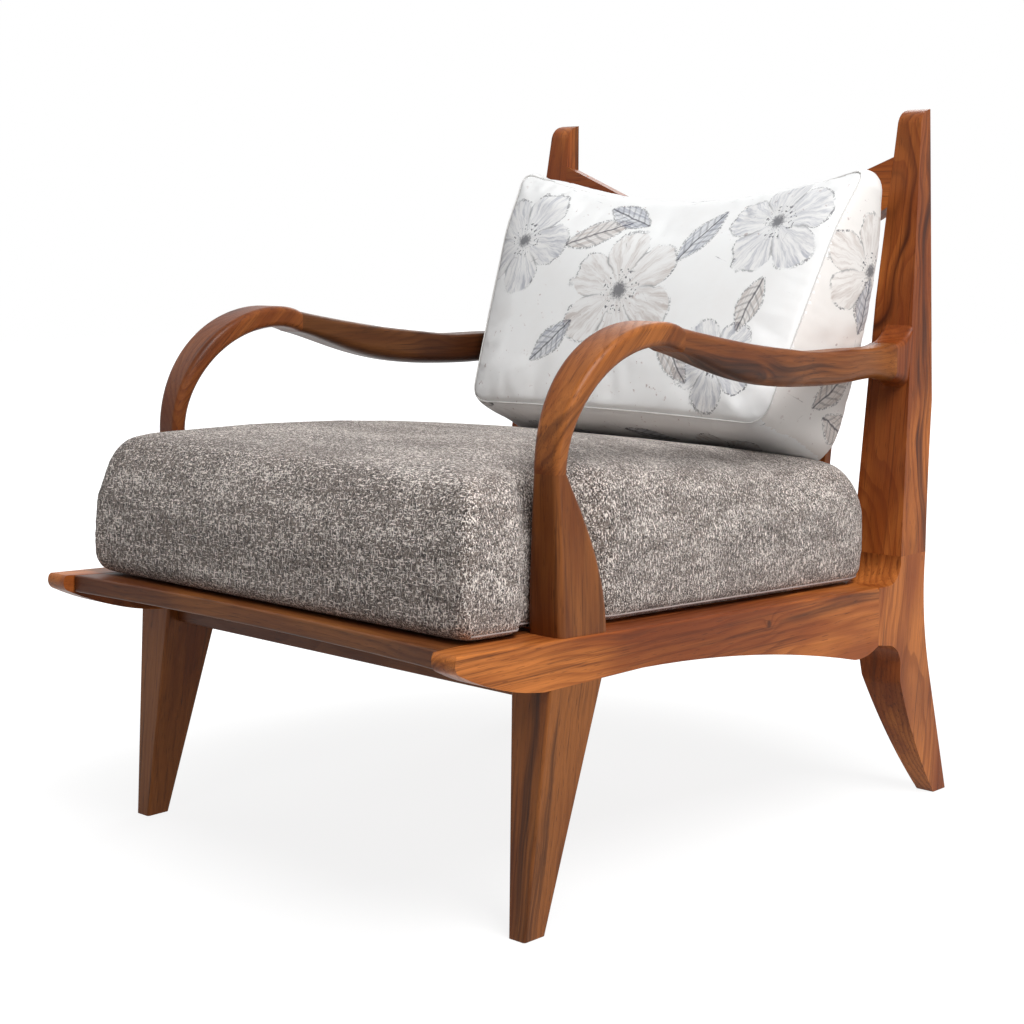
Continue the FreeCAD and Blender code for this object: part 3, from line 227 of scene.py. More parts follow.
def swollen(finish, radius, knots):
    """Rings that swell round each knot, and the dark cores of the knots, or none."""
    core = None
    for spot, size in knots:
        away = finish.add("ShaderNodeVectorMath", {"operation": "DISTANCE"},
                          {0: finish.place, 1: spot}, output="Value") / size
        swell = 1.0 / (1.0 + away * away * 1.6)
        radius = radius + swell * size * 1.7
        middle = 1.0 - away.between(0.20, 0.75)
        core = middle if core is None else core.apply("MAXIMUM", middle)
    return radius, core


def wood(name, grain, heart, knots=(), dark=0.6, shade=1.0, seed=0.0, swirl=0.085):
    """Grain is the direction of the fibres, heart a point that the rings go round.

    Knots are places and sizes. Dark is the strength of the dark streaks, shade the tone of the
    whole board, lowered on some parts as painted shade, and swirl how far the rings wander.
    """
    finish = Finish(name)
    light, middle_brown, red_brown, deep_brown = (
        paint(*(part * shade for part in brown)) for brown in BROWNS)
    grain = Vector(grain).normalized()
    side = grain.cross(Vector((1, 0, 0) if abs(grain.x) < 0.7 else (0, 1, 0))).normalized()
    face = grain.cross(side)
    heart = Vector(heart)
    length = finish.along(grain) + seed
    across = finish.along(side) - heart.dot(side)
    deep = finish.along(face) - heart.dot(face)

    def drawn_out(crosswise, lengthwise, shift=0.0):
        """A place in the board for noise that is stretched along the grain."""
        return finish.point(across * crosswise, deep * crosswise, length * lengthwise + shift)

    slow = finish.noise(drawn_out(3.0, 1.9), 1.0, 3.0, 0.55)
    sway = finish.noise(drawn_out(10.0, 4.1, 7.0), 1.0, 2.0)
    radius = finish.length(
        finish.point(across + (slow - 0.5) * swirl, deep + (sway - 0.5) * swirl * 0.6))
    radius, core = swollen(finish, radius, knots)
    tremble = finish.noise(drawn_out(70.0, 5.0), 1.0, 2.0)
    turn = (radius * RINGS_PER_METRE + tremble * 0.5).apply("FRACT")
    ring = turn.between(0.35, 0.90) - turn.between(0.93, 1.0)
    line = finish.noise(drawn_out(260.0, 4.5), 1.0, 3.0, 0.65)
    fibre = finish.noise(drawn_out(700.0, 14.0), 1.0, 3.0, 0.6)
    pore = finish.noise(drawn_out(950.0, 46.0), 1.0, 1.0).between(0.64, 0.73)
    streak = finish.noise(finish.point(radius * 42.0, across * 9.0, length * 1.3 + 3.0),
                          1.0, 4.0, 0.65)
    patch = finish.noise(drawn_out(16.0, 2.6, 11.0), 1.0, 3.0, 0.6)
    broad = finish.noise(drawn_out(5.0, 3.4, 5.0), 1.0, 2.0)
    colour = finish.blend(patch.between(0.38, 0.60), light, middle_brown)
    colour = finish.blend(broad.between(0.46, 0.66) * 0.65, colour, red_brown)
    colour = finish.blend(ring * broad.between(0.30, 0.60) * 0.50, colour, red_brown)
    colour = finish.blend(streak.between(0.53, 0.70) * dark, colour, deep_brown)
    colour = finish.blend(line.between(0.54, 0.72) * 0.55, colour, deep_brown)
    colour = finish.blend((fibre - 0.36) * 0.70, colour, deep_brown)
    colour = finish.blend(pore * 0.5, colour, deep_brown)
    if core is not None:
        colour = finish.blend(core * 0.7, colour, paint(44, 20, 10))
    roughness = 0.32 + fibre * 0.14 + ring * 0.05
    height = fibre * 0.6 + ring * 0.25 - pore
    return finish.finish_surface(colour, roughness, height, strength=0.16, distance=0.0006,
                                 specular_ior_level=0.17, coat_weight=0.04, coat_roughness=0.16)


# %% What sets each board apart
# Each kind of part: the direction of its grain and the heart of its rings, on the right side.
upright = (0, 0.144, 0.99)
grain_of = {
    "side_rail": ((0, 1, 0.0), (0.37, 0, 0.20)),
    "front_leg": ((0.02, 0.1, 1), (0.36, -0.36, 0)),
    "rear_leg": ((0, 0.12, 1), (0.39, 0.33, 0)),
    "back_post": (upright, (0.25, 0.44, 0.5)),
    "arm_post": ((0, 0.0, 1), (0.27, -0.33, 0)),
    "arm_arch": ((0, 0.72, 0.69), (0.36, -0.2, 0.46)),
    "arm_rest": ((0, 1, -0.03), (0.34, 0, 0.46)),
}
knots_of = {
    "side_rail_right": [((0.326, 0.055, 0.258), 0.008)],
    "side_rail_left": [((-0.326, -0.20, 0.266), 0.010)],
    "arm_rest_right": [((0.326, 0.235, 0.530), 0.008)],
    "rear_leg_right": [((0.300, 0.300, 0.300), 0.009)],
    "front_leg_right": [((0.296, -0.300, 0.075), 0.006)],
    "front_leg_left": [((-0.27, -0.29, 0.19), 0.009)],
}
# Tones of the parts. Rails, rear legs, back posts and arches keep the wood's own tone. The front
# legs are darker as painted shade of their fronts. The arm posts and arm rests are partly darker
# wood and partly painted shade of their fronts and undersides. The left arm rest is darker still,
# as painted shade of its inner face.
tone_and_painted_shade_of = {
    "arm_post": 0.72, "back_post": 1.03, "front_leg": 0.75, "arm_rest": 0.76, "arm_arch": 0.84,
    "arm_rest_left": 0.52,
}
dark_of = {
    "arm_rest": 0.9, "back_post": 0.95, "front_leg": 0.8, "arm_arch": 0.8, "side_rail": 0.75,
}
swirl_of = {"arm_rest": 0.15, "back_post": 0.15}
print("boards with knots:", sorted(knots_of))


# %% Dress each board
def dress(node, material):
    """Puts one material on every slot of a CAD node."""
    mesh = nodes[node].data
    mesh.materials.clear()
    mesh.materials.append(material)


for kind, (grain, heart) in grain_of.items():
    for side, sign in (("right", 1), ("left", -1)):
        node = "%s_%s" % (kind, side)
        place = (heart[0] * sign, heart[1], heart[2])
        shade = tone_and_painted_shade_of.get(node, tone_and_painted_shade_of.get(kind, 1.02))
        dress(node, wood("wood_" + node, grain, place, knots_of.get(node, ()),
                         dark=dark_of.get(kind, 0.6), shade=shade,
                         seed=0.37 * sign + len(kind), swirl=swirl_of.get(kind, 0.085)))
for node, grain, heart in (
        ("crest_rail", (1, 0, 0), (0, 0.45, 0.70)),
        ("front_board", (1, 0, 0), (0, -0.36, 0.17)),
        ("front_apron", (1, 0, 0), (0, -0.20, 0.24)),
        ("lower_back_rail", (1, 0, 0), (0, 0.42, 0.32)),
        ("rear_seat_rail", (1, 0, 0), (0, 0.42, 0.22)),
        ("seat_ledger_left", (0, 1, 0), (-0.2, 0, 0.2)),
        ("seat_ledger_right", (0, 1, 0), (0.2, 0, 0.2))):
    # The front board and apron are darker: partly darker wood, partly painted shade from the seat
    # cushion's front above them.
    shade = 0.66 if node.startswith("front") else 1.0
    knots = [((-0.06, -0.42, 0.290), 0.009)] if node == "front_board" else ()
    dress(node, wood("wood_" + node, grain, heart, knots, seed=len(node) * 0.61, shade=shade))
for node in sorted(nodes):
    if node.startswith("seat_slat_") and not node.endswith("screws"):
        dress(node, wood("wood_" + node, (1, 0, 0), (0, 0.1, 0.1), dark=0.25, shade=1.1,
                         seed=int(node[-1]) * 1.3))
    if node.startswith("back_slat_"):
        dress(node, wood("wood_" + node, upright, (0.1, 0.6, 0.5), dark=0.3,
                         seed=int(node[-1]) * 1.7))
    if node.endswith("dowels"):
        dress(node, wood("wood_" + node, (0, 0, 1), (0.9, 0.9, 0), dark=0.1, shade=1.25, seed=2.0))
print("wood materials:", sum(m.name.startswith("wood_") for m in bpy.data.materials))

# %% [markdown]
# ## Softly rounded edges
#
# Every edge that a hand meets on the real chair is sanded round. A Bevel modifier does that
# to the boards, after a Weld joins the corners that the CAD mesh keeps apart. They could be
# fillets in the CAD model too, but one modifier rounds every board alike and is easy to
# change. The arms have round sections already, so they are left as they come.

# %% Round the boards' edges
rounding = {
    "side_rail": 3.5, "front_leg": 3.0, "rear_leg": 3.5, "back_post": 4.0, "crest_rail": 3.5,
    "front_board": 3.0, "front_apron": 2.0, "lower_back_rail": 2.0, "rear_seat_rail": 2.0,
    "back_slat": 3.0, "seat_slat": 2.5, "seat_ledger": 1.5,
}
rounded = 0
for node, piece in nodes.items():
    width = next((value for kind, value in rounding.items() if node.startswith(kind)), None)
    if width is None or node.endswith("screws"):
        continue
    weld = piece.modifiers.new("join corners", "WELD")
    weld.merge_threshold = 0.00002
    bevel = piece.modifiers.new("sanded edges", "BEVEL")
    bevel.width = width * MM
    bevel.segments = 3
    bevel.limit_method = "ANGLE"
    bevel.angle_limit = math.radians(32)
    bevel.miter_outer = "MITER_ARC"
    shading = piece.modifiers.new("even shading", "WEIGHTED_NORMAL")
    shading.weight = 80
    for polygon in piece.data.polygons:
        polygon.use_smooth = True
    rounded += 1
print("boards with rounded edges:", rounded)

# %% [markdown]
# ## Screws
#
# The slats and ledgers are held by plain zinc-plated screws. Their heads come from the CAD
# model and sit under the cushion, so no thread is modelled, and a bright grey metal with
# faint turning marks is enough.


# %% Zinc-plated steel
def zinc():
    """Bright grey plate with faint turning marks."""
    finish = Finish("zinc_plate")
    mark = finish.noise(finish.place, 900.0, 3.0)
    haze = finish.noise(finish.place, 140.0, 2.0)
    colour = finish.blend(haze, paint(176, 178, 180), paint(205, 206, 208))
    return finish.finish_surface(colour, 0.32 + mark * 0.2, mark, strength=0.1, metallic=1.0)


zinc_plate = zinc()
screws = [node for node in nodes if "screws" in node]
for node in screws:
    dress(node, zinc_plate)
print("screw nodes:", screws)

# %% [markdown]
# ## Covers that are sewn and then filled
#
# A cushion is made the way a sewing room does it: first a closed cover with its own cut,
# then a filling that pushes from inside. The cut is a stack of closed outlines. It is
# remeshed to even squares, blown up a little with Cloth pressure, and held back where it
# would leave its place. Then it is pressed flat where it rests on wood.


# %% Outlines with round corners
CORNER_STEPS = 8


def rounded_outline(corners, count):
    """Points round a polygon whose corners are (x, y, radius), anticlockwise."""
    points = []
    total = len(corners)
    for index, (x, y, radius) in enumerate(corners):
        here = Vector((x, y))
        before = Vector(corners[index - 1][:2])
        after = Vector(corners[(index + 1) % total][:2])
        into = (here - before).normalized()
        out = (after - here).normalized()
        bend = into.angle(out)
        trim = radius * math.tan(bend / 2)
        start = here - into * trim
        end = here + out * trim
        for step in range(CORNER_STEPS + 1):
            share = step / CORNER_STEPS
            points.append(start * (1 - share) ** 2 + here * 2 * share * (1 - share)
                          + end * share ** 2)
    lengths = [0.0]
    for first, second in zip(points, points[1:] + points[:1]):
        lengths.append(lengths[-1] + (second - first).length)
    even = []
    segment = 0
    for step in range(count):
        target = lengths[-1] * step / count
        while lengths[segment + 1] < target:
            segment += 1
        share = (target - lengths[segment]) / max(lengths[segment + 1] - lengths[segment], 1e-9)
        even.append(points[segment].lerp(points[(segment + 1) % len(points)], share))
    return even


# %% A cover from a stack of outlines
def stack(name, rings):
    """A closed mesh through a stack of rings with the same number of points."""
    mesh = bpy.data.meshes.new(name)
    count = len(rings[0])
    points = [point for ring in rings for point in ring]
    faces = []
    for level in range(len(rings) - 1):
        for step in range(count):
            after = (step + 1) % count
            low = level * count
            high = low + count
            faces.append((low + step, low + after, high + after, high + step))
    first = len(points)
    points.append(sum(rings[0], Vector()) / count)
    points.append(sum(rings[-1], Vector()) / count)
    last = (len(rings) - 1) * count
    for step in range(count):
        after = (step + 1) % count
        faces.append((after, step, first))
        faces.append((last + step, last + after, first + 1))
    mesh.from_pydata([tuple(point) for point in points], [], faces)
    work = bmesh.new()
    work.from_mesh(mesh)
    bmesh.ops.recalc_face_normals(work, faces=work.faces)
    work.to_mesh(mesh)
    work.free()
    return mesh


def smooth_step(value, low, high):
    """0 below low, 1 above high and a soft step between them."""
    share = min(max((value - low) / (high - low), 0), 1)
    return share * share * (3 - 2 * share)


# %% Blow air into a cover
FILLING_FRAMES = 20


def evaluated(piece, name):
    """The piece's mesh with its modifiers applied."""
    bpy.context.view_layer.update()
    graph = bpy.context.evaluated_depsgraph_get()
    mesh = bpy.data.meshes.new_from_object(piece.evaluated_get(graph))
    mesh.name = name
    return mesh


def blown(piece, pressure):
    """Where each point of a cover goes while air is let in for some frames."""
    cloth = piece.modifiers.new("filling", "CLOTH")
    cloth.settings.quality = 5
    cloth.settings.mass = 0.3
    cloth.settings.tension_stiffness = 15
    cloth.settings.compression_stiffness = 15
    cloth.settings.shear_stiffness = 5
    cloth.settings.bending_stiffness = 0.5
    cloth.settings.use_pressure = True
    cloth.settings.uniform_pressure_force = pressure
    cloth.settings.effector_weights.gravity = 0
    cloth.point_cache.frame_start = 1
    cloth.point_cache.frame_end = FILLING_FRAMES
    for number in range(1, FILLING_FRAMES + 1):
        scene.frame_set(number)
    mesh = evaluated(piece, piece.name + "_blown")
    piece.modifiers.clear()
    scene.frame_set(1)
    return [vertex.co.copy() for vertex in mesh.vertices]


# %% Fill a cover and even it out
def filled(name, mesh, square, pressure, most, hold):
    """Remeshes a cover, fills it with air, and lets no point move further than most."""
    piece = bpy.data.objects.new(name, mesh)
    scene.collection.objects.link(piece)
    remesh = piece.modifiers.new("even squares", "REMESH")
    remesh.mode = "VOXEL"
    remesh.voxel_size = square
    even = evaluated(piece, name + "_even")
    piece.modifiers.clear()
    piece.data = even
    start = [vertex.co.copy() for vertex in even.vertices]
    moved = blown(piece, pressure)
    furthest = 0.0
    for vertex, before, after in zip(piece.data.vertices, start, moved):
        step = after - before
        furthest = max(furthest, step.length)
        if step.length > most:
            step = step.normalized() * most
        vertex.co = hold(before + step)
    print(name, "points:", len(start), "furthest push, mm:", round(furthest / MM, 1))
    return piece


def relaxed(piece, hold, rounds):
    """Evens out a mesh a little."""
    work = bmesh.new()
    work.from_mesh(piece.data)
    for _ in range(rounds):
        bmesh.ops.smooth_vert(work, verts=work.verts, factor=0.5,
                              use_axis_x=True, use_axis_y=True, use_axis_z=True)
    for vertex in work.verts:
        vertex.co = hold(vertex.co)
    work.to_mesh(piece.data)
    work.free()


def finer(piece):
    """One subdivision, applied, with smooth shading."""
    step = piece.modifiers.new("finer", "SUBSURF")
    step.levels = 1
    step.render_levels = 1
    mesh = evaluated(piece, piece.name + "_fine")
    piece.modifiers.clear()
    piece.data = mesh
    for polygon in mesh.polygons:
        polygon.use_smooth = True


# %% [markdown]
# ## Seams
#
# Filling rounds a cover off, but thread doesn't stretch: a sewn seam stays where it was cut.
# So after the filling the cloth near each seam is moved back until the surface passes
# through the seam, less and less further away. A fine groove along it then reads as thread.


# %% Search trees of faces and points
def surface_tree(piece):
    """A piece's faces as a search tree."""
    return BVHTree.FromPolygons([vertex.co for vertex in piece.data.vertices],
                                [polygon.vertices for polygon in piece.data.polygons])


def tree_of(points):
    """Points as a search tree."""
    tree = KDTree(len(points))
    for index, point in enumerate(points):
        tree.insert(point, index)
    tree.balance()
    return tree


def cut_surface(rings):
    """The cut of a cover as a search tree; face // count tells between which rings it lies."""
    count = len(rings[0])
    faces = [(level * count + step, level * count + (step + 1) % count,
              (level + 1) * count + (step + 1) % count, (level + 1) * count + step)
             for level in range(len(rings) - 1) for step in range(count)]
    return BVHTree.FromPolygons([point for ring in rings for point in ring], faces)


# %% Cloth that follows its seams
def hold_seam(piece, path, reach):
    """Moves a surface onto a path, and what is within reach of it along with it.

    Answers how far the surface was from the path at most.
    """
    surface = surface_tree(piece)
    feet = [surface.find_nearest(point)[0] for point in path]
    shifts = [point - foot for point, foot in zip(path, feet)]
    near = tree_of(feet)
    for vertex in piece.data.vertices:
        index, away = near.find(vertex.co)[1:]
        if away < reach:
            vertex.co += shifts[index] * (1 - (away / reach) ** 2) ** 2
    return max(shift.length for shift in shifts)


def settle(piece, cut, share):
    """Brings a filled cover part of the way back to its cut."""
    for vertex in piece.data.vertices:
        vertex.co = vertex.co.lerp(cut.find_nearest(vertex.co)[0], share)


def draw_in(piece, path, reach, depth):
    """Pulls the cloth inwards near a path."""
    near = tree_of(path)
    normals = [vertex.normal.copy() for vertex in piece.data.vertices]
    for vertex, normal in zip(piece.data.vertices, normals):
        away = near.find(vertex.co)[2]
        if away < reach:
            vertex.co -= normal * depth * (1 - away / reach) ** 2


# %% A cord of cloth along a seam
def welt(name, path, radius, material, body, closed=True):
    """A round cord of cloth along a path."""
    curve = bpy.data.curves.new(name, "CURVE")
    curve.dimensions = "3D"
    curve.bevel_depth = radius
    curve.bevel_resolution = 3
    spline = curve.splines.new("POLY")
    spline.points.add(len(path) - 1)
    for spot, point in zip(spline.points, path):
        spot.co = (*point, 1)
    spline.use_cyclic_u = closed
    curve.use_fill_caps = not closed
    draft = bpy.data.objects.new(name + "_draft", curve)
    scene.collection.objects.link(draft)
    mesh = evaluated(draft, name)
    bpy.data.objects.remove(draft)
    piece = bpy.data.objects.new(name, mesh)
    scene.collection.objects.link(piece)
    for polygon in mesh.polygons:
        polygon.use_smooth = True
    mesh.materials.clear()
    mesh.materials.append(material)
    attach(piece, body)


# %% [markdown]
# ## Seat cushion
#
# The seat cushion is a deep foam block in tweed. It rests on the slats, which slope down to
# the back, and stands 41 mm behind the tips of the rails. The arm posts press into its
# sides, so it is pinched there and full before and behind them. Its top edges are well
# rounded, its middle is crowned, more so in front, and its upright front corners are sharp.
# A sculpted block could look like that too, but outlines stacked from the slats upwards keep
# every size in view, and the filling adds what only cloth does.

# %% The plane the seat cushion rests on, and its cut
SLOPE = math.tan(math.radians(2.35))
DEPTH_HALF = 427 * MM
RAIL_TOP = 297.5 * MM
SEAT_FRONT, SEAT_BACK = -0.386, 0.311
SEAT_MIDDLE = (SEAT_FRONT + SEAT_BACK) / 2
SEAT_REAR_ROUND = 56 * MM
PRESS_BEGINS, PRESS_ENDS = (-0.312, -0.286), (-0.204, -0.172)
SEAT_POINTS = 280
# These, like the heights and insets below, are in mm.
SEAT_HALF, POST_PRESS, CROWN_FALL = 298.5, 22.5, 18


def seat_plane(y):
    """Height of the rails' tops at y; they slope down from the front."""
    return RAIL_TOP - SLOPE * (y + DEPTH_HALF)


def seat_half_width(y):
    """How far the cushion reaches sideways before it is filled, in mm."""
    press = smooth_step(y, *PRESS_BEGINS) * (1 - smooth_step(y, *PRESS_ENDS))
    return SEAT_HALF - POST_PRESS * press - 2 * smooth_step(y, 0.05, 0.30)


def seat_point(x, y, height):
    """A point square above the seat plane; the crown falls off towards the back."""
    fall = CROWN_FALL * smooth_step(y, -0.20, 0.20) * smooth_step(height, 85, 150)
    height = (height - fall) * MM
    return Vector((x, y + SLOPE * height, seat_plane(y) + height))


def seat_ring(height, inset, share=1.0):
    """One outline of the cover: height above the slats, inset from the widest outline."""
    half = (SEAT_HALF - inset) * MM
    front = SEAT_FRONT + inset * MM
    back = SEAT_BACK - inset * MM
    front_round = max(10 - inset * 0.2, 4) * MM + inset * 0.6 * MM
    corners = [(-half, front, front_round), (half, front, front_round),
               (half, back, SEAT_REAR_ROUND), (-half, back, SEAT_REAR_ROUND)]
    ring = []
    for spot in rounded_outline(corners, SEAT_POINTS):
        x = spot.x * seat_half_width(spot.y) / SEAT_HALF * share
        y = SEAT_MIDDLE + (spot.y - SEAT_MIDDLE) * share
        ring.append(seat_point(x, y, height))
    return ring


# The bottom, as shares of its outline; the sides, as heights and insets; the crown again as
# shares and heights. Heights and insets are in mm.
bottom = (0.01, 0.15, 0.5, 0.8, 1.0)
sides = ((2.5, 12), (5, 8), (8, 5), (12, 2.5), (18, 0.5), (40, -1), (64, -0.5), (84, 0),
         (98, 2.5), (112, 5), (124, 7.5), (134, 10.5), (142, 14), (149, 18.5), (155, 25),
         (159, 36), (162, 52))
crown = ((0.9, 166), (0.775, 171), (0.62, 175), (0.49, 178), (0.3, 180), (0.12, 181),
         (0.01, 181.2))
seat_rings = [seat_ring(1.0, 17, share) for share in bottom]
seat_rings += [seat_ring(height, inset) for height, inset in sides]
seat_rings += [seat_ring(height, 52, share) for share, height in crown]
print("rings in the seat's cut:", len(seat_rings))

# %% Fill the seat cushion
ARM_POST_Y = (-0.296, -0.194)
ARM_POST_INNER_X = 276.8 * MM
REAR_LEG_Y, REAR_LEG_TOP = 0.290, 26 * MM
REAR_LEG_INNER_X = 257.2 * MM
SWELL, REAR_SWELL = 2.5 * MM, 0.3 * MM
SLAT_GAP = 0.6 * MM
CORNER_SEAM_FROM, CORNER_SEAM_TO = 12, 149


def hold_seat(point):
    """Keeps the filled cover on the slats and clear of the arm posts and rear legs."""
    x, y, z = point
    rise = max(z - seat_plane(y), SLAT_GAP)
    base = y - SLOPE * rise
    widest = seat_half_width(base) * MM + SWELL
    if ARM_POST_Y[0] < y < ARM_POST_Y[1]:
        widest = min(widest, ARM_POST_INNER_X)
    if y > REAR_LEG_Y and rise < REAR_LEG_TOP:
        widest = min(widest, REAR_LEG_INNER_X)
    x = min(max(x, -widest), widest)
    base = min(max(base, SEAT_FRONT - SWELL), SEAT_BACK + REAR_SWELL)
    return Vector((x, base + SLOPE * rise, seat_plane(y) + rise))


seat = filled("seat_cushion_tweed", stack("seat_cut", seat_rings),
              square=6 * MM, pressure=3.0, most=4.5 * MM, hold=hold_seat)
relaxed(seat, hold_seat, rounds=2)
settle(seat, cut_surface(seat_rings), share=0.7)
side_rings = [seat_ring(height, inset) for height, inset in sides
              if CORNER_SEAM_FROM <= height <= CORNER_SEAM_TO]
seat_corner_seams = [[max(ring, key=lambda spot: sign * spot.x - spot.y) for ring in side_rings]
                     for sign in (1, -1)]
seat_foot_seam = seat_ring(8.0, 4.6)
for path in seat_corner_seams + [seat_foot_seam]:
    print("seat seam moved by up to, mm:", round(hold_seam(seat, path, reach=22 * MM) / MM, 1))
finer(seat)
for path in seat_corner_seams:
    draw_in(seat, path, reach=6 * MM, depth=1.2 * MM)
for vertex in seat.data.vertices:
    vertex.co = hold_seat(vertex.co)
print("seat cushion box, mm:", [round(side / MM) for side in seat.dimensions])

# %% [markdown]
# ## Tweed
#
# The seat cloth is a taupe-grey tweed with flecks of off-white slub yarn, some running
# across and some up and down. Stretched noise along each axis gives flecks that lie along
# the threads on every face, with no join where the cloth turns a corner. Broad flat noise
# makes some rows richer in slubs than others, and the same flecks give the weave its bumps.


# %% Tweed with white slubs
def tweed():
    """Taupe-grey cloth with off-white slubs along its threads."""
    finish = Finish("tweed")
    cloud = finish.noise(finish.place, 16.0, 3.0)
    across = finish.noise(finish.scaled(finish.place, (185, 690, 690)), 1.0, 2.0, 0.6, 0.6)
    upward = finish.noise(finish.scaled(finish.place, (690, 650, 180)), 1.0, 2.0, 0.6, 0.6)
    shadow = finish.noise(finish.scaled(finish.place, (500, 470, 320)), 1.0, 2.0, 0.6, 0.5)
    speck = finish.noise(finish.place, 950.0, 2.0, 0.7)
    rows = finish.noise(finish.scaled(finish.place, (9, 26, 70)), 1.0, 2.0)
    slub = across.apply("MAXIMUM", upward) + (rows - 0.5) * 0.14
    # The near-black brown in the hollows between the threads is painted shade. The same mask sinks
    # the bumps there.
    shaded_hollow = 1.0 - shadow.between(0.40, 0.52)
    colour = finish.blend(cloud.between(0.35, 0.65), paint(92, 80, 73), paint(112, 98, 90))
    colour = finish.blend(speck.between(0.45, 0.60) * 0.75, colour, paint(166, 152, 143))
    colour = finish.blend(shaded_hollow * 0.92, colour, paint(38, 29, 25))
    colour = finish.blend(slub.between(0.575, 0.615), colour, paint(250, 240, 232))
    height = slub + speck * 0.5 - shaded_hollow * 0.6
    return finish.finish_surface(colour, 0.92, height, strength=0.6, distance=0.0016,
                                 sheen_weight=0.15, sheen_roughness=0.6)


# %% Plain cloth for cords
def plain_cotton(name, low, high):
    """Plain cloth for welts and seams, between two tones."""
    finish = Finish(name)
    thread = finish.noise(finish.place, 1400.0, 2.0)
    shade = finish.noise(finish.place, 60.0, 2.0)
    colour = finish.blend(shade, paint(*low), paint(*high))
    return finish.finish_surface(colour, 0.85, thread, strength=0.3, sheen_weight=0.1)


# %% Dress the seat cushion
FRONT_CORNER = Vector((0.3, -0.39, 0.3))
CORD_BEHIND_Y = -0.374
seat.data.materials.append(tweed())
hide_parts("seat_cushion_cover", "seat_cushion_core")
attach(seat, "seat_cushion")
seam_cord = plain_cotton("seat_seam_cord", (152, 139, 135), (180, 167, 163))
start = min(range(SEAT_POINTS), key=lambda step: (seat_foot_seam[step] - FRONT_CORNER).length)
around = seat_foot_seam[start:] + seat_foot_seam[:start]
behind_front = [point for point in around if point.y > CORD_BEHIND_Y]
welt("seat_foot_seam", behind_front, 1.1 * MM, seam_cord, "seat_cushion",
     closed=False)
print("seat cushion faces:", len(seat.data.polygons))

# %% [markdown]
# ## Back cushion
#
# The back cushion is a box cushion cut as a wedge: thick at its foot, which stands on the
# seat, and thin at its head. A boxing strip joins the front and back panels, with a fine
# welt at the front seam and a plain seam behind. Its head sags between two corners that
# stand up, and its sides pull in towards the foot. Its outlines are stacked from front to
# back, so each seam is one of them, and a formula bends them all.

# %% The cut of the back cushion
FRONT_FOOT, FRONT_HEAD = Vector((0, 0.170, 0.464)), Vector((0, 0.297, 0.760))
BACK_FOOT, BACK_HEAD = Vector((0, 0.291, 0.402)), Vector((0, 0.356, 0.752))
PANEL_HEIGHT = (FRONT_HEAD - FRONT_FOOT).length
PANEL_POINTS = 240
FOOT_ROUND, REAR_FOOT_ROUNDER = 0.032, 0.018
HEAD_ROUND_RIGHT, HEAD_ROUND_LEFT = 0.013, 0.018
HEAD_SAG, FOOT_DROOP, HEAD_TILT = 44 * MM, 4 * MM, 3.5 * MM
BELLY, LEFT_FOOT_WIDER = 0.060, 0.032
# Half widths, and what the head is thinner by in front and behind, are in mm.
FOOT_HALF, HEAD_HALF = 232, 274
HEAD_THINNER_FRONT, HEAD_THINNER_REAR = 12, 9


def back_half_width(share):
    """Half the cushion's width at a share of its height."""
    return (FOOT_HALF + (HEAD_HALF - FOOT_HALF) * share) * MM


def panel_outline(inset, foot_round):
    """The panel's outline: x and height up the panel, with round corners."""
    foot = inset * 0.5
    low = back_half_width(0) - inset
    high = back_half_width(1) - inset
    corners = [(-low, foot, foot_round), (low, foot, foot_round),
               (high, PANEL_HEIGHT, HEAD_ROUND_RIGHT), (-high, PANEL_HEIGHT, HEAD_ROUND_LEFT)]
    return rounded_outline(corners, PANEL_POINTS)


def back_point(x, rise, depth):
    """A point of the cushion from its x, its height up the panel and its share of the depth."""
    share = rise / PANEL_HEIGHT
    front = FRONT_FOOT.lerp(FRONT_HEAD, share)
    back = BACK_FOOT.lerp(BACK_HEAD, share)
    spot = front.lerp(back, depth)
    thinner = (HEAD_THINNER_FRONT * (1 - depth) - HEAD_THINNER_REAR * depth) * MM
    spot.y += thinner * smooth_step(share, 0.72, 1.0)
    middle = 1 - min(abs(x) / back_half_width(share), 1) ** 1.8
    if x < 0:
        x *= 1 + LEFT_FOOT_WIDER * (1 - share)
    belly = math.sin(math.pi * (0.15 + 0.85 * min(max(share, 0), 1)))
    x *= 1 + BELLY * belly * smooth_step(depth, 0, 0.5)
    sag = HEAD_SAG * middle * smooth_step(share, 0.45, 1.0)
    droop = FOOT_DROOP * (1 - middle) * (1 - smooth_step(share, 0.0, 0.25)) * (1 - depth)
    tilt = HEAD_TILT * x / back_half_width(1) * smooth_step(share, 0.7, 1.0)
    return Vector((x, spot.y, spot.z - sag - droop - tilt))


panel_lean = math.radians(24.8)
outward = Vector((0, -math.cos(panel_lean), math.sin(panel_lean)))
rearward = Vector((0, 0.985, -0.17))


def back_ring(depth, inset, shrink=1.0, crown=0.0, way=outward):
    """One outline: shrunk towards the panel's middle, and crowned out of it."""
    ring = []
    centre = Vector((0, PANEL_HEIGHT * 0.5))
    for spot in panel_outline(inset, FOOT_ROUND + REAR_FOOT_ROUNDER * depth):
        spot = centre + (spot - centre) * shrink
        ring.append(back_point(spot.x, spot.y, depth) + way * crown * MM)
    return ring


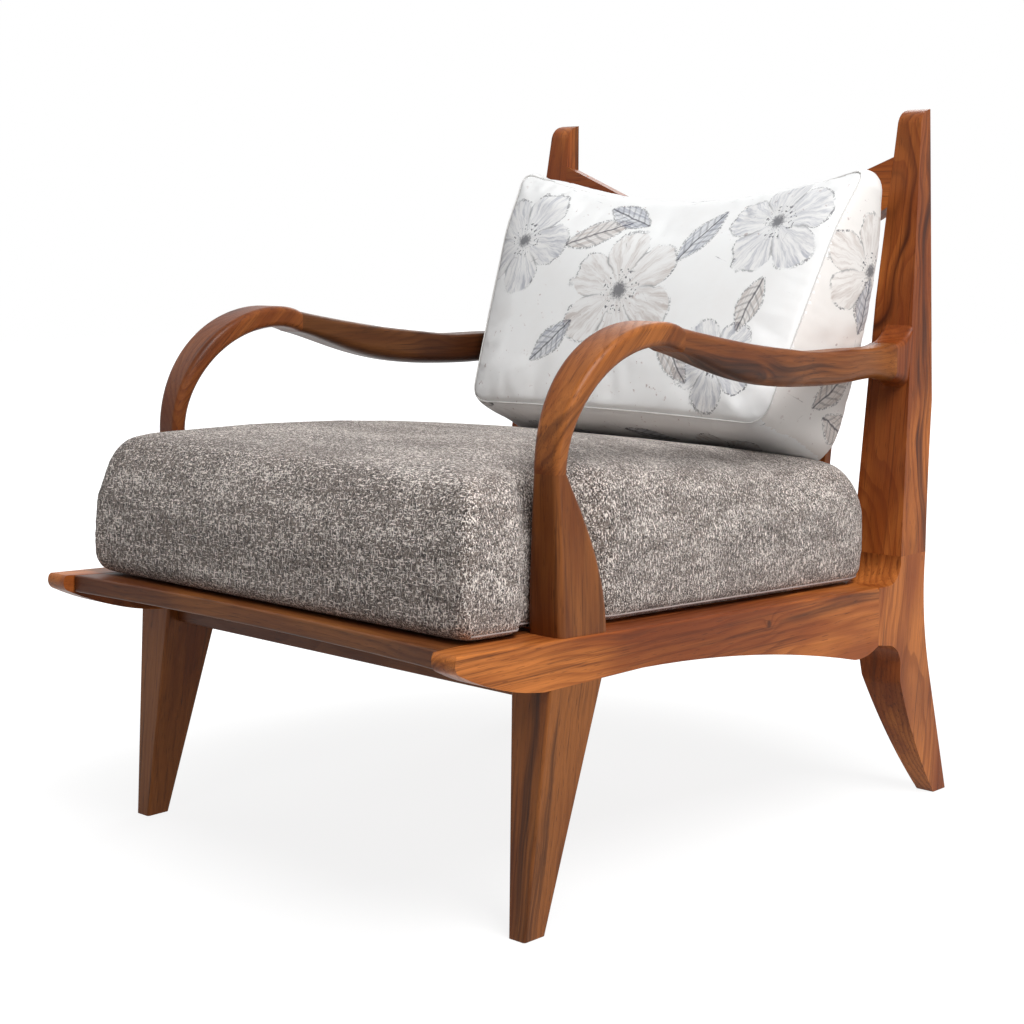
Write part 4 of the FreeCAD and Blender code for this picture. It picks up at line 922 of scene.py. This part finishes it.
# Panels as shares of their outline and crowns in mm; the boxing as shares of the depth and
# insets in metres.
front_crown = ((0.01, 13), (0.12, 13), (0.3, 12), (0.5, 10), (0.7, 7), (0.86, 4), (0.95, 1.5))
boxing = ((0.12, -0.003), (0.3, -0.005), (0.5, -0.006), (0.7, -0.006), (0.88, -0.004))
rear_crown = ((0.95, 2), (0.86, 6), (0.7, 10), (0.5, 13), (0.3, 15), (0.12, 16), (0.01, 16))
front_seam = back_ring(0.0, 0.0)
rear_seam = back_ring(1.0, -0.002)
back_rings = [back_ring(0.0, 0.0, shrink, crown) for shrink, crown in front_crown]
front_seam_level = len(back_rings)
back_rings.append(front_seam)
back_rings += [back_ring(depth, inset) for depth, inset in boxing]
rear_seam_level = len(back_rings)
back_rings.append(rear_seam)
back_rings += [back_ring(1.0, -0.002, shrink, crown, rearward) for shrink, crown in rear_crown]
print("back cushion seams at rings", front_seam_level, "and", rear_seam_level)

# %% Fill the back cushion
SLAT_FOOT_Y, SLAT_FOOT_Z = 0.317, 0.300
RAKE = math.tan(math.radians(8.3))
BACK_SLAT_GAP, CUSHION_GAP = 1.0 * MM, 0.8 * MM


def slat_face(z):
    """Front of the back slats at a height."""
    return SLAT_FOOT_Y + RAKE * (z - SLAT_FOOT_Z)


seat_tree = surface_tree(seat)


def seat_top(x, y):
    """Top of the filled seat cushion at a place, or none."""
    hit = seat_tree.ray_cast(Vector((x, y, 0.7)), Vector((0, 0, -1)))[0]
    return None if hit is None else hit.z


def hold_back(point):
    """Keeps the back cushion on the seat cushion and in front of the slats."""
    x, y, z = point
    y = min(y, slat_face(z) - BACK_SLAT_GAP)
    floor = seat_top(x, y)
    if floor is not None:
        z = max(z, floor + CUSHION_GAP)
    return Vector((x, y, z))


back = filled("back_cushion_print", stack("back_cut", back_rings),
              square=6 * MM, pressure=4.0, most=16 * MM, hold=hold_back)
relaxed(back, hold_back, rounds=2)
cut_tree = cut_surface(back_rings)
settle(back, cut_tree, share=0.45)
for path in (front_seam, rear_seam):
    print("back seam moved by up to, mm:", round(hold_seam(back, path, reach=60 * MM) / MM, 1))
finer(back)
draw_in(back, front_seam, reach=9 * MM, depth=1.1 * MM)
draw_in(back, rear_seam, reach=6 * MM, depth=0.8 * MM)
for vertex in back.data.vertices:
    vertex.co = hold_back(vertex.co)
print("back cushion box, mm:", [round(side / MM) for side in back.dimensions])

# %% [markdown]
# ## Printed cotton
#
# The back cover is off-white cotton with large loose blossoms and leaves in blue-grey and
# taupe, as if brushed in thin paint. Each motif is a formula: a blossom is a radius that
# rises and falls with the angle, a leaf is two arcs about a midrib. Noise breaks their
# outlines and fills them with streaks. Each panel has its own flat drawing, as cut cloth
# does, so motifs stop at the seams.


# %% Cloth to paint on
THREAD = 1.1 * MM
TINTS = {"blue": paint(130, 136, 156), "taupe": paint(176, 161, 153)}
COAL = paint(58, 59, 70)


class PaintedCloth(Finish):
    """A finish with the directions of its drawing and the noise that its brush leaves."""

    def __init__(self, name, right, up):
        super().__init__(name)
        self.u = self.along(right)
        self.v = self.along(up)
        self.drift = self.noise(self.place, 38.0, 3.0, 0.6) - 0.5
        self.drift_more = self.noise(
            self.scaled(self.place, (1, 1.3, 0.8)), 47.0, 3.0, 0.6) - 0.5
        self.wash = self.noise(self.place, 30.0, 3.0, 0.6)
        self.bristle = self.noise(self.place, 420.0, 2.0, 0.6)

    def from_spot(self, x, y, wander):
        """How far right and up of a spot a point lies, measured with an unsteady hand."""
        return self.u - x + self.drift * wander, self.v - y + self.drift_more * wander


print("tints of the print:", list(TINTS))


# %% A blossom
def blossom(cloth, colour, x, y, size, petals, turn, tint):
    """Paints one blossom over a colour: petals with rays and folds, an edge and a heart."""
    du, dv = cloth.from_spot(x, y, 0.012)
    radius = cloth.length(cloth.point(du, dv)) / size
    angle = dv.apply("ARCTAN2", du)
    lobe = ((angle * (petals / 2) + turn).apply("COSINE")).apply("ABSOLUTE").apply("POWER", 0.55)
    rim = 0.58 + lobe * 0.40 + cloth.drift * 0.25
    inside = (rim - radius).between(0.0, 0.035)
    rays = cloth.noise(cloth.point(angle * 9.0, radius * 1.6, size * 40), 1.0, 3.0, 0.7)
    petal = (rays.between(0.38, 0.70) * (0.35 + radius * 0.5)) * inside
    colour = cloth.blend(inside * 0.22, colour, paint(222, 218, 216))
    colour = cloth.blend(petal * 0.8, colour, TINTS[tint])
    fold = (1.0 - lobe.between(0.10, 0.42)) * inside * radius.between(0.15, 0.6)
    colour = cloth.blend(fold * 0.55, colour, COAL)
    edge = 1.0 - (rim - radius).apply("ABSOLUTE").between(0.008, 0.035)
    edge = edge * cloth.bristle.between(0.40, 0.55) * cloth.wash.between(0.35, 0.6)
    colour = cloth.blend(edge * 0.8, colour, COAL)
    heart = 1.0 - (radius + (cloth.bristle - 0.5) * 0.18).between(0.06, 0.17)
    colour = cloth.blend(heart * 0.8, colour, COAL)
    dots = cloth.noise(cloth.point(angle * 5.0, radius * 22.0, size * 9), 1.0, 1.0)
    near_heart = radius.between(0.16, 0.2) * (1.0 - radius.between(0.30, 0.36))
    return cloth.blend(dots.between(0.60, 0.66) * near_heart * 0.85, colour, COAL)


# %% A leaf
def leaf(cloth, colour, x, y, length, width, lean, tint):
    """Paints one leaf over a colour: two arcs about a midrib, with veins and an edge."""
    cosine, sine = math.cos(math.radians(lean)), math.sin(math.radians(lean))
    du, dv = cloth.from_spot(x, y, 0.007)
    run = (du * cosine + dv * sine) / length
    aside = (dv * cosine - du * sine) / width
    off = aside.apply("ABSOLUTE")
    on_length = run.between(-0.001, 0.0) * (1.0 - run.between(1.0, 1.001))
    reach = (run * math.pi).apply("SINE") * on_length
    inside = (reach - off + cloth.drift * 0.3).between(0.0, 0.10)
    vein = ((run * 46.0 - off * 9.0).apply("SINE")).between(0.2, 0.95)
    brushed = cloth.noise(cloth.point(aside * 9.0, run * 2.0, length * 30), 1.0, 3.0, 0.7)
    share = inside * (0.20 + brushed.between(0.35, 0.7) * 0.55)
    colour = cloth.blend(share, colour, TINTS[tint])
    colour = cloth.blend(inside * vein * 0.35, colour, COAL)
    rib = (1.0 - off.between(0.02, 0.09)) * inside
    colour = cloth.blend(rib * 0.8, colour, COAL)
    edge = 1.0 - (reach - off).apply("ABSOLUTE").between(0.02, 0.14)
    edge = edge * reach.between(0.02, 0.1) * cloth.bristle.between(0.42, 0.56)
    return cloth.blend(edge * 0.6, colour, COAL)


# %% A painted cloth panel
def printed(name, right, up, blossoms, leaves, tone=(251, 252, 252)):
    """Right and up are the drawing's directions on the panel.

    A blossom is x, y, size, petals, turn and tint; a leaf is x and y of its stalk, length,
    width, lean in degrees and tint. Places and sizes are in metres.
    """
    cloth = PaintedCloth(name, right, up)
    shade = cloth.wash.between(0.35, 0.8) * 0.25
    colour = cloth.blend(shade, paint(*tone), paint(238, 235, 233))
    splash = cloth.noise(cloth.place, 120.0, 2.0, 0.7)
    field = cloth.noise(cloth.place, 9.0, 1.0)
    drops = splash.between(0.66, 0.72) * field.between(0.48, 0.60)
    colour = cloth.blend(drops * 0.75, colour, paint(188, 170, 168))
    for motif in blossoms:
        colour = blossom(cloth, colour, *motif)
    for motif in leaves:
        colour = leaf(cloth, colour, *motif)
    warp = (cloth.u * (2 * math.pi / THREAD)).apply("SINE")
    weft = (cloth.v * (2 * math.pi / THREAD)).apply("SINE")
    height = warp * weft * 0.5 + cloth.bristle
    return cloth.finish_surface(colour, 0.86, height, strength=0.18, distance=0.0006,
                                sheen_weight=0.12)


# %% The drawings of the four panels
lean_back = math.radians(24.0)
slope_up = (0, math.sin(lean_back), math.cos(lean_back))
slope_in = (0, math.cos(lean_back), -math.sin(lean_back))


def on_panel(x, y, z, right, up):
    """Where a point of the chair falls in a panel's drawing."""
    spot = Vector((x, y, z))
    return spot.dot(Vector(right)), spot.dot(Vector(up))


def placed(motifs, right, up):
    """Motifs given by a point of the chair, turned to the panel's drawing."""
    return [on_panel(*motif[0], right, up) + motif[1:] for motif in motifs]


across = (1, 0, 0)
front_print = printed("print_front", across, slope_up, placed([
    ((-0.215, 0.26, 0.665), 0.080, 5, 0.3, "blue"),
    ((-0.02, 0.23, 0.600), 0.092, 6, 1.1, "taupe"),
    ((0.185, 0.27, 0.690), 0.075, 5, 2.0, "blue"),
    ((0.150, 0.20, 0.520), 0.060, 5, 0.9, "blue"),
], across, slope_up), placed([
    ((-0.14, 0.26, 0.655), 0.100, 0.020, 25, "taupe"),
    ((-0.02, 0.27, 0.690), 0.085, 0.017, 160, "blue"),
    ((0.055, 0.24, 0.640), 0.090, 0.020, 65, "blue"),
    ((-0.085, 0.21, 0.565), 0.080, 0.017, 225, "blue"),
    ((0.060, 0.20, 0.560), 0.085, 0.018, -50, "taupe"),
    ((0.190, 0.25, 0.620), 0.075, 0.016, -105, "taupe"),
], across, slope_up))
across_rear = (-1, 0, 0)
rear_up = (0, 0.15, 0.99)
rear_print = printed("print_rear", across_rear, rear_up, placed([
    ((-0.14, 0.36, 0.600), 0.085, 5, 0.8, "blue"),
    ((0.12, 0.36, 0.640), 0.075, 6, 1.9, "taupe"),
    ((0.16, 0.36, 0.490), 0.055, 5, 0.1, "blue"),
], across_rear, rear_up), placed([
    ((0.06, 0.36, 0.58), 0.095, 0.019, 240, "blue"),
    ((-0.20, 0.36, 0.50), 0.090, 0.019, -30, "taupe"),
], across_rear, rear_up))
# The boxing strip at the sides is the same cotton, given a greyer tone as painted shade of the
# cushion's sides.
strip_print = printed("print_strip", slope_in, slope_up, placed([
    ((0.26, 0.315, 0.635), 0.070, 6, 0.5, "taupe"),
], slope_in, slope_up), placed([
    ((0.25, 0.235, 0.475), 0.080, 0.019, 60, "taupe"),
    ((0.25, 0.255, 0.465), 0.070, 0.017, -5, "taupe"),
    ((0.25, 0.30, 0.56), 0.070, 0.017, 100, "blue"),
], slope_in, slope_up), tone=(236, 232, 228))
foot_print = printed("print_foot", across, slope_in, placed([
    ((-0.13, 0.24, 0.44), 0.050, 6, 0.7, "blue"),
    ((0.14, 0.25, 0.44), 0.055, 5, 1.7, "taupe"),
], across, slope_in), placed([
    ((0.00, 0.20, 0.44), 0.075, 0.018, 20, "blue"),
    ((0.02, 0.25, 0.71), 0.085, 0.018, 10, "blue"),
    ((-0.2, 0.30, 0.74), 0.080, 0.018, 200, "taupe"),
], across, slope_in))
print("print materials:", [m.name for m in bpy.data.materials if m.name.startswith("print")])

# %% Give each panel its cloth
FRONT, STRIP, REAR, FOOT = range(4)
for material in (front_print, strip_print, rear_print, foot_print):
    back.data.materials.append(material)
for polygon in back.data.polygons:
    level = cut_tree.find_nearest(polygon.center)[2] // PANEL_POINTS
    if level < front_seam_level:
        polygon.material_index = FRONT
    elif level >= rear_seam_level:
        polygon.material_index = REAR
    else:
        polygon.material_index = FOOT if abs(polygon.normal.x) < 0.6 else STRIP
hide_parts("back_cushion_cover", "back_cushion_core")
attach(back, "back_cushion")
print("panels:", [material.name for material in back.data.materials])

# %% Sew on the front welt
welt_cotton = plain_cotton("welt_cotton", (214, 212, 209), (238, 237, 235))
welt("back_front_welt", front_seam, 0.9 * MM, welt_cotton, "back_cushion")
print("welt along the front seam, points:", len(front_seam))

# %% [markdown]
# ## Zips
#
# Each cover closes with a zip at its back, hidden from the front. The CAD strips keep their
# place. Teeth could be modelled one by one, but they are small and seldom seen, so a pattern
# of bumps makes a woven tape with a row of coil teeth.


# %% Zip tape
TOOTH_PITCH = 1.6 * MM


def zip_tape(name, tape, coil):
    """Woven tape with a row of coil teeth along x."""
    finish = Finish(name)
    x = finish.along((1, 0, 0))
    tooth = (x * (2 * math.pi / TOOTH_PITCH)).apply("SINE").between(-0.2, 0.5)
    weave = finish.noise(finish.place, 1500.0, 2.0)
    colour = finish.blend(tooth, paint(*tape), paint(*coil))
    return finish.finish_surface(colour, 0.6, tooth + weave * 0.4, strength=0.6, distance=0.0006)


dress("seat_cushion_zip", zip_tape("zip_taupe", (96, 86, 80), (132, 120, 112)))
dress("back_cushion_zip", zip_tape("zip_white", (205, 203, 200), (236, 236, 234)))
print("zip teeth stand apart by, mm:", TOOTH_PITCH / MM)

# %% [markdown]
# ## Floor and world
#
# The photograph stands on a white sweep with faint shadows that fall behind the legs. The
# floor is a matt grey sheet that gives off its own light when it is looked at, also in a
# reflection or through something clear. So it reads white but keeps the shadows, and the
# share of its own light grows with the distance until no edge shows against the world.


# %% Floor
GLOW_NEAR = 0.66
GLOW_STARTS, GLOW_FULL = 0.35, 1.15
FLOOR_REACH = 9


def pale_floor():
    """A matt grey sheet that glows more the further it is from the chair's middle."""
    finish = Finish("pale_floor")
    away = finish.length(finish.place)
    far = away.between(GLOW_STARTS, GLOW_FULL)
    share = finish.seen_directly() * (GLOW_NEAR + far * (1 - GLOW_NEAR))
    grain = finish.noise(finish.place, 3.0, 2.0)
    colour = finish.blend(grain, paint(187, 187, 187), paint(189, 189, 189))
    matt = finish.add("ShaderNodeBsdfDiffuse", None, {"Color": colour})
    glow = finish.add("ShaderNodeEmission", None, {"Color": (1, 1, 1, 1), "Strength": 1.3})
    finish.add_output(finish.add("ShaderNodeMixShader", None, {0: share, 1: matt, 2: glow}))
    return finish.material


floor_mesh = bpy.data.meshes.new("floor")
floor_corners = [(x * FLOOR_REACH, y * FLOOR_REACH, 0)
                 for x, y in ((-1, -1), (1, -1), (1, 1), (-1, 1))]
floor_mesh.from_pydata(floor_corners, [], [(0, 1, 2, 3)])
floor = bpy.data.objects.new("floor", floor_mesh)
floor.location.z = -0.0006
scene.collection.objects.link(floor)
floor_mesh.materials.append(pale_floor())
print("floor laid, m:", 2 * FLOOR_REACH)

# %% White world with little light
WORLD_LIGHT = 0.13
world = bpy.data.worlds.new("studio")
scene.world = world
backdrop = Finish("studio", world)
strength = WORLD_LIGHT + backdrop.seen_directly() * (1 - WORLD_LIGHT)
backdrop.add_output(
    backdrop.add("ShaderNodeBackground", None, {"Color": (1, 1, 1, 1), "Strength": strength}),
    "ShaderNodeOutputWorld")
print("light of the world:", WORLD_LIGHT)

# %% [markdown]
# ## Lamps
#
# Five soft lamps stand round the chair. The key lamp is high on the camera's right, so tops
# and right sides are bright and fronts stay darker. A low lamp on that side lifts the boxing
# and the rail, and weaker ones in front, at the left and behind keep the shadows open. A
# bright world could light it as well, but from all sides alike, and the forms would go flat.


# %% Soft lamps
def lamp(name, place, aim, size, power):
    """A square soft lamp that points at a spot."""
    data = bpy.data.lights.new(name, "AREA")
    data.size = size
    data.energy = power
    piece = bpy.data.objects.new(name, data)
    piece.location = place
    piece.rotation_euler = (Vector(aim) - Vector(place)).to_track_quat("-Z", "Y").to_euler()
    scene.collection.objects.link(piece)


lamp("key", (2.09, -0.72, 3.21), (0, 0, 0.4), 1.8, 130)
lamp("side", (3.0, 0.4, 0.7), (0, 0.1, 0.5), 1.2, 11)
lamp("front", (0.58, -2.25, 1.80), (0, 0, 0.3), 0.45, 3.2)
lamp("fill", (-3.0, -1.0, 2.0), (0, 0, 0.4), 1.6, 6.5)
lamp("rear", (-1.5, 3.0, 2.5), (0, 0, 0.4), 1.6, 24)
scene.view_settings.view_transform = "Standard"
